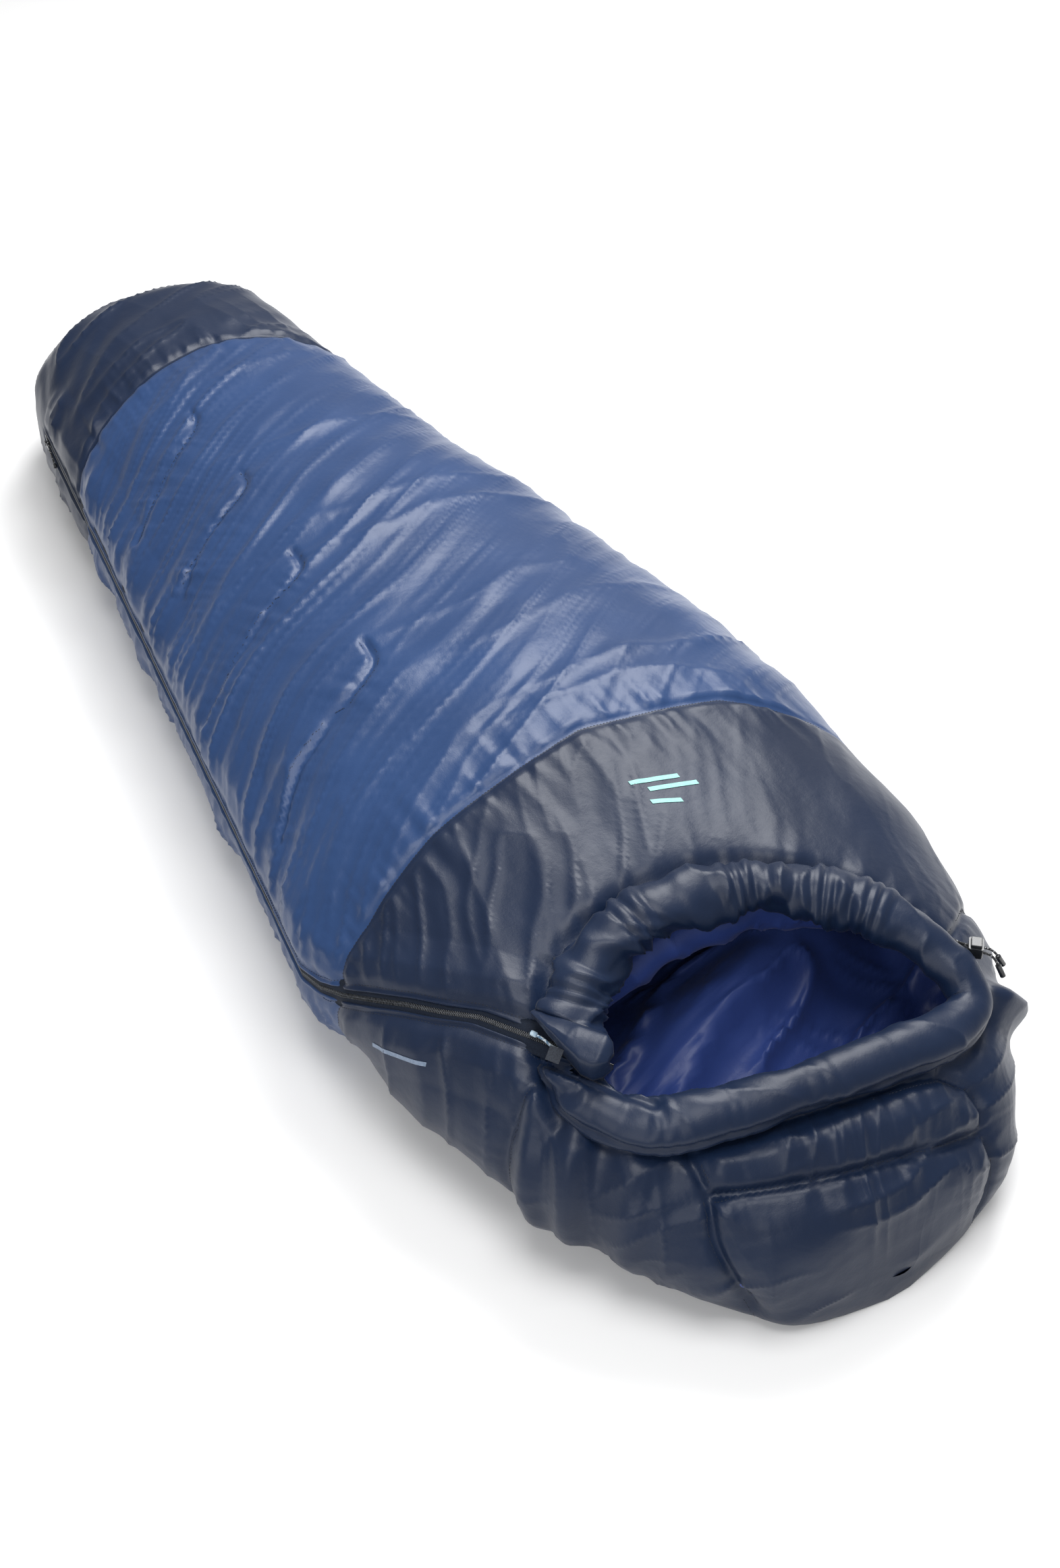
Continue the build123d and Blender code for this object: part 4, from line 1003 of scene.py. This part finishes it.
def cord(name, frame_axes, route, radius, material, body, node):
    """A free cord along its route in its own frame."""
    origin, *axes = frame_axes
    points = [origin + sum(value * axis for value, axis in zip(point, axes)) for point in route]
    curve = bpy.data.curves.new(name, "CURVE")
    curve.dimensions = "3D"
    curve.bevel_depth = radius
    curve.bevel_resolution = 6
    curve.resolution_u = 16
    curve.use_fill_caps = True
    spline = curve.splines.new("NURBS")
    spline.points.add(len(points) - 1)
    for point, place in zip(spline.points, points):
        point.co = (*place, 1)
    spline.order_u = 3
    spline.use_endpoint_u = True
    piece = bpy.data.objects.new(name, curve)
    bpy.context.scene.collection.objects.link(piece)
    piece.data.materials.append(material)
    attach(piece, body)
    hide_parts(node)


HEAD_FRAME = slider_frame(ZIP_LENGTH, HEAD_SETBACK, 1)
FOOT_FRAME = slider_frame(0, FOOT_SETBACK, -1)
cord("head_pull_cord_line", HEAD_FRAME, HEAD_CORD, PULL_CORD_RADIUS, PULL_CORD, "head_pull",
     "head_pull_cord")
cord("foot_pull_cord_line", FOOT_FRAME, FOOT_CORD, PULL_CORD_RADIUS, STRAND, "foot_pull",
     "foot_pull_cord")
heading = math.radians(LOCK_HEADING)
LOCK_FRAME = (np.array(LOCK_PLACE), np.array((math.cos(heading), math.sin(heading), 0.0)),
              np.array((-math.sin(heading), math.cos(heading), 0.0)), np.array((0.0, 0.0, 1.0)))
for side, sign in (("left", 1), ("right", -1)):
    route = [(x, sign * y, z) for x, y, z in STRAND_ROUTE]
    cord(f"drawcord_strand_{side}_line", LOCK_FRAME, route, STRAND_RADIUS, STRAND, "bag",
         f"drawcord_strand_{side}")

# ==== spring under the lock's button (the real one shortens when pressed; this coil keeps one length)
SPRING_TURNS = 6
SPRING_WIRE = 0.0003
WIRE_AROUND = 8
low, high = (np.array(corner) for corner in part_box("cord_lock_spring"))
spring_middle, spring_radius = (low + high) / 2, (high[0] - low[0]) / 2 - SPRING_WIRE
turns = np.linspace(0, 2 * np.pi * SPRING_TURNS, 24 * SPRING_TURNS + 1)
coil_radial = np.stack([np.cos(turns), np.sin(turns), 0 * turns], 1)
coil_line = spring_middle + spring_radius * coil_radial
coil_line[:, 2] = np.linspace(low[2] + SPRING_WIRE, high[2] - SPRING_WIRE, len(turns))
wire_turn = np.linspace(0, 2 * np.pi, WIRE_AROUND, endpoint=False)
wire = SPRING_WIRE * (np.cos(wire_turn)[None, :, None] * coil_radial[:, None]
                      + np.sin(wire_turn)[None, :, None] * np.array([0.0, 0.0, 1.0]))
last_ring = (len(turns) - 1) * WIRE_AROUND
faces = tube_faces(len(turns), WIRE_AROUND)
faces += [tuple(range(WIRE_AROUND)), tuple(reversed(range(last_ring, last_ring + WIRE_AROUND)))]
spring = new_mesh("cord_lock_spring_wire", (coil_line[:, None] + wire).reshape(-1, 3), faces)
dress(spring, SPRING, "spring_steel", "cord_lock_spring")
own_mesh(spring)

# ==== hard pieces keep their CAD shape
FINISHES = {
    "head_slider": METAL, "foot_slider": METAL, "head_pull_tab": METAL, "foot_pull_tab": METAL,
    "zip_top_stop": PLASTIC, "zip_bottom_stop": PLASTIC, "head_pull_knob": KNOB, "foot_pull_knob": PLASTIC,
    "cord_ends": PLASTIC, "cord_lock_body": PLASTIC, "cord_lock_button": PLASTIC,
    "cord_lock_tab": WEBBING, "flap_hook_patch": WEBBING,
}
for name, material in FINISHES.items():
    paint(NODES[name], material)

# ==== marks and stitching on the outer cloth
shell_tree = surface_tree(shell, True)


def mark(name, corner, along, across, direction, material, steps=(24, 4)):
    """A thin printed patch laid on the outer cloth, found by looking along a direction."""
    corner, along, across = (np.array(v, float) for v in (corner, along, across))
    direction = Vector(direction).normalized()
    vertices = []
    for i in range(steps[0] + 1):
        for j in range(steps[1] + 1):
            p = corner + along * i / steps[0] + across * j / steps[1]
            hit, normal, *_ = shell_tree.ray_cast(Vector(p) - direction * 0.2, direction)
            normal = normal if normal.dot(direction) < 0 else -normal
            vertices.append(hit + normal * 0.0006)
    wide = steps[1] + 1
    faces = [(i * wide + j, (i + 1) * wide + j, (i + 1) * wide + j + 1, i * wide + j + 1)
             for i in range(steps[0]) for j in range(steps[1])]
    piece = new_mesh(name, vertices, faces)
    paint(piece, material)
    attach(piece, "bag")


for k, (start, length) in enumerate(((0.006, 0.062), (0.022, 0.062), (0.014, 0.036))):
    mark(f"chest_mark_{k}", (start, -0.480 - 0.017 * k, 0.33), (length, -0.012, 0), (0, -0.0065, 0),
         (0, 0, -1), MINT)
mark("side_mark", (-0.386, -0.555, 0.160), (0.027, -0.075, 0.027), (0.002, 0.001, 0.005),
     (0.85, 0.25, -0.42), SLATE)


def stitched(name, lines, pitch=0.0045, length=0.0028, radius=0.00038, sunk=0.0002):
    """Short stitches along lines on the outer cloth."""
    vertices, faces = [], []
    around = 5
    for line in lines:
        line = np.asarray(line, float)
        steps = np.concatenate([[0], np.cumsum(np.linalg.norm(np.diff(line, axis=0), axis=1))])
        for start in np.arange(0, steps[-1] - pitch, pitch):
            ends = []
            for travel in (start, start + length):
                p = Vector([np.interp(travel, steps, line[:, k]) for k in range(3)])
                hit, normal, *_ = shell_tree.find_nearest(p)
                ends.append((hit, normal))
            (p, normal), (q, _) = ends
            run = q - p
            if run.length < 0.0005 or run.length > 2 * length:
                continue
            run.normalize()
            side = run.cross(normal).normalized()
            up = side.cross(run)
            up = up if up.dot(p - Vector((0, p.y, 0.10))) > 0 else -up
            base_index = len(vertices)
            for at, size, lift in ((p, 0.3, -sunk), (p.lerp(q, 0.25), 1.0, sunk), (p.lerp(q, 0.75), 1.0, sunk),
                                   (q, 0.3, -sunk)):
                for j in range(around):
                    turn = 2 * math.pi * j / around
                    rise = up * (lift + size * radius * math.sin(turn))
                    vertices.append(at + rise + side * (size * radius * math.cos(turn)))
            for ring_index in range(3):
                for j in range(around):
                    a = base_index + ring_index * around + j
                    b = base_index + ring_index * around + (j + 1) % around
                    faces.append((a, b, b + around, a + around))
    piece = new_mesh(name, vertices, faces)
    paint(piece, STITCH)
    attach(piece, "bag")


seam_lines = [smooth_line(line, 60) for line in SIDE_STITCHES]
seam_lines += [smooth_line(line, 80) for line, *_ in HOOD_SEAMS]
for seam in (FOOT_SEAM, CHEST_SEAM):
    row = int(np.argmin(np.abs(shell_rows - seam)))
    seam_lines.append(shell[row][shell[row][:, 2] > 0.02])
zip_stitches = np.arange(0.004, ZIP_LENGTH - 0.05, 0.01)
for side in (1, -1):
    beside = np.full(len(zip_stitches), side * ZIP_STITCH_ACROSS)
    seam_lines.append(near_zip(zip_stitches, beside, np.zeros(len(zip_stitches))))
stitched("stitching", seam_lines)

# ==== floor, light and camera
FLOOR_REACH = 12
floor_mesh = bpy.data.meshes.new("floor")
corners = [(x * FLOOR_REACH, y * FLOOR_REACH, 0) for x, y in ((-1, -1), (1, -1), (1, 1), (-1, 1))]
floor_mesh.from_pydata(corners, [], [(0, 1, 2, 3)])
floor = bpy.data.objects.new("floor", floor_mesh)
bpy.context.scene.collection.objects.link(floor)
pale = principled("pale_floor", (0.90, 0.90, 0.90), 0.85)
floor.data.materials.append(pale)

world = bpy.data.worlds.new("studio")
bpy.context.scene.world = world
world.use_nodes = True
world.node_tree.nodes["Background"].inputs["Color"].default_value = (1.0, 1.0, 1.0, 1)
world.node_tree.nodes["Background"].inputs["Strength"].default_value = WORLD_LIGHT


def area_light(name, place, target, size, power):
    light = bpy.data.lights.new(name, "AREA")
    light.shape = "SQUARE"
    light.size = size
    light.energy = power
    lamp = bpy.data.objects.new(name, light)
    bpy.context.scene.collection.objects.link(lamp)
    lamp.location = place
    lamp.rotation_euler = (Vector(target) - Vector(place)).to_track_quat("-Z", "Y").to_euler()


for name, place, target, size, power in LIGHTS:
    area_light(name, place, target, size, power)

heading, down, tilt = (math.radians(angle) for angle in (CAMERA_HEADING, CAMERA_DOWN, CAMERA_ROLL))
forward = Vector((math.sin(heading) * math.cos(down), math.cos(heading) * math.cos(down), -math.sin(down)))
right = Vector((math.cos(heading), -math.sin(heading), 0))
up = right.cross(forward)
turned = Matrix.Rotation(tilt, 3, forward)
right, up = turned @ right, turned @ up
camera = bpy.data.objects.new("camera", bpy.data.cameras.new("camera"))
bpy.context.scene.collection.objects.link(camera)
camera.data.lens = CAMERA_LENS
camera.data.sensor_width = CAMERA_SENSOR
camera.matrix_world = Matrix((
    (right.x, up.x, -forward.x, CAMERA_PLACE[0]),
    (right.y, up.y, -forward.y, CAMERA_PLACE[1]),
    (right.z, up.z, -forward.z, CAMERA_PLACE[2]),
    (0, 0, 0, 1),
))
bpy.context.scene.camera = camera
bpy.context.scene.view_settings.view_transform = "Standard"
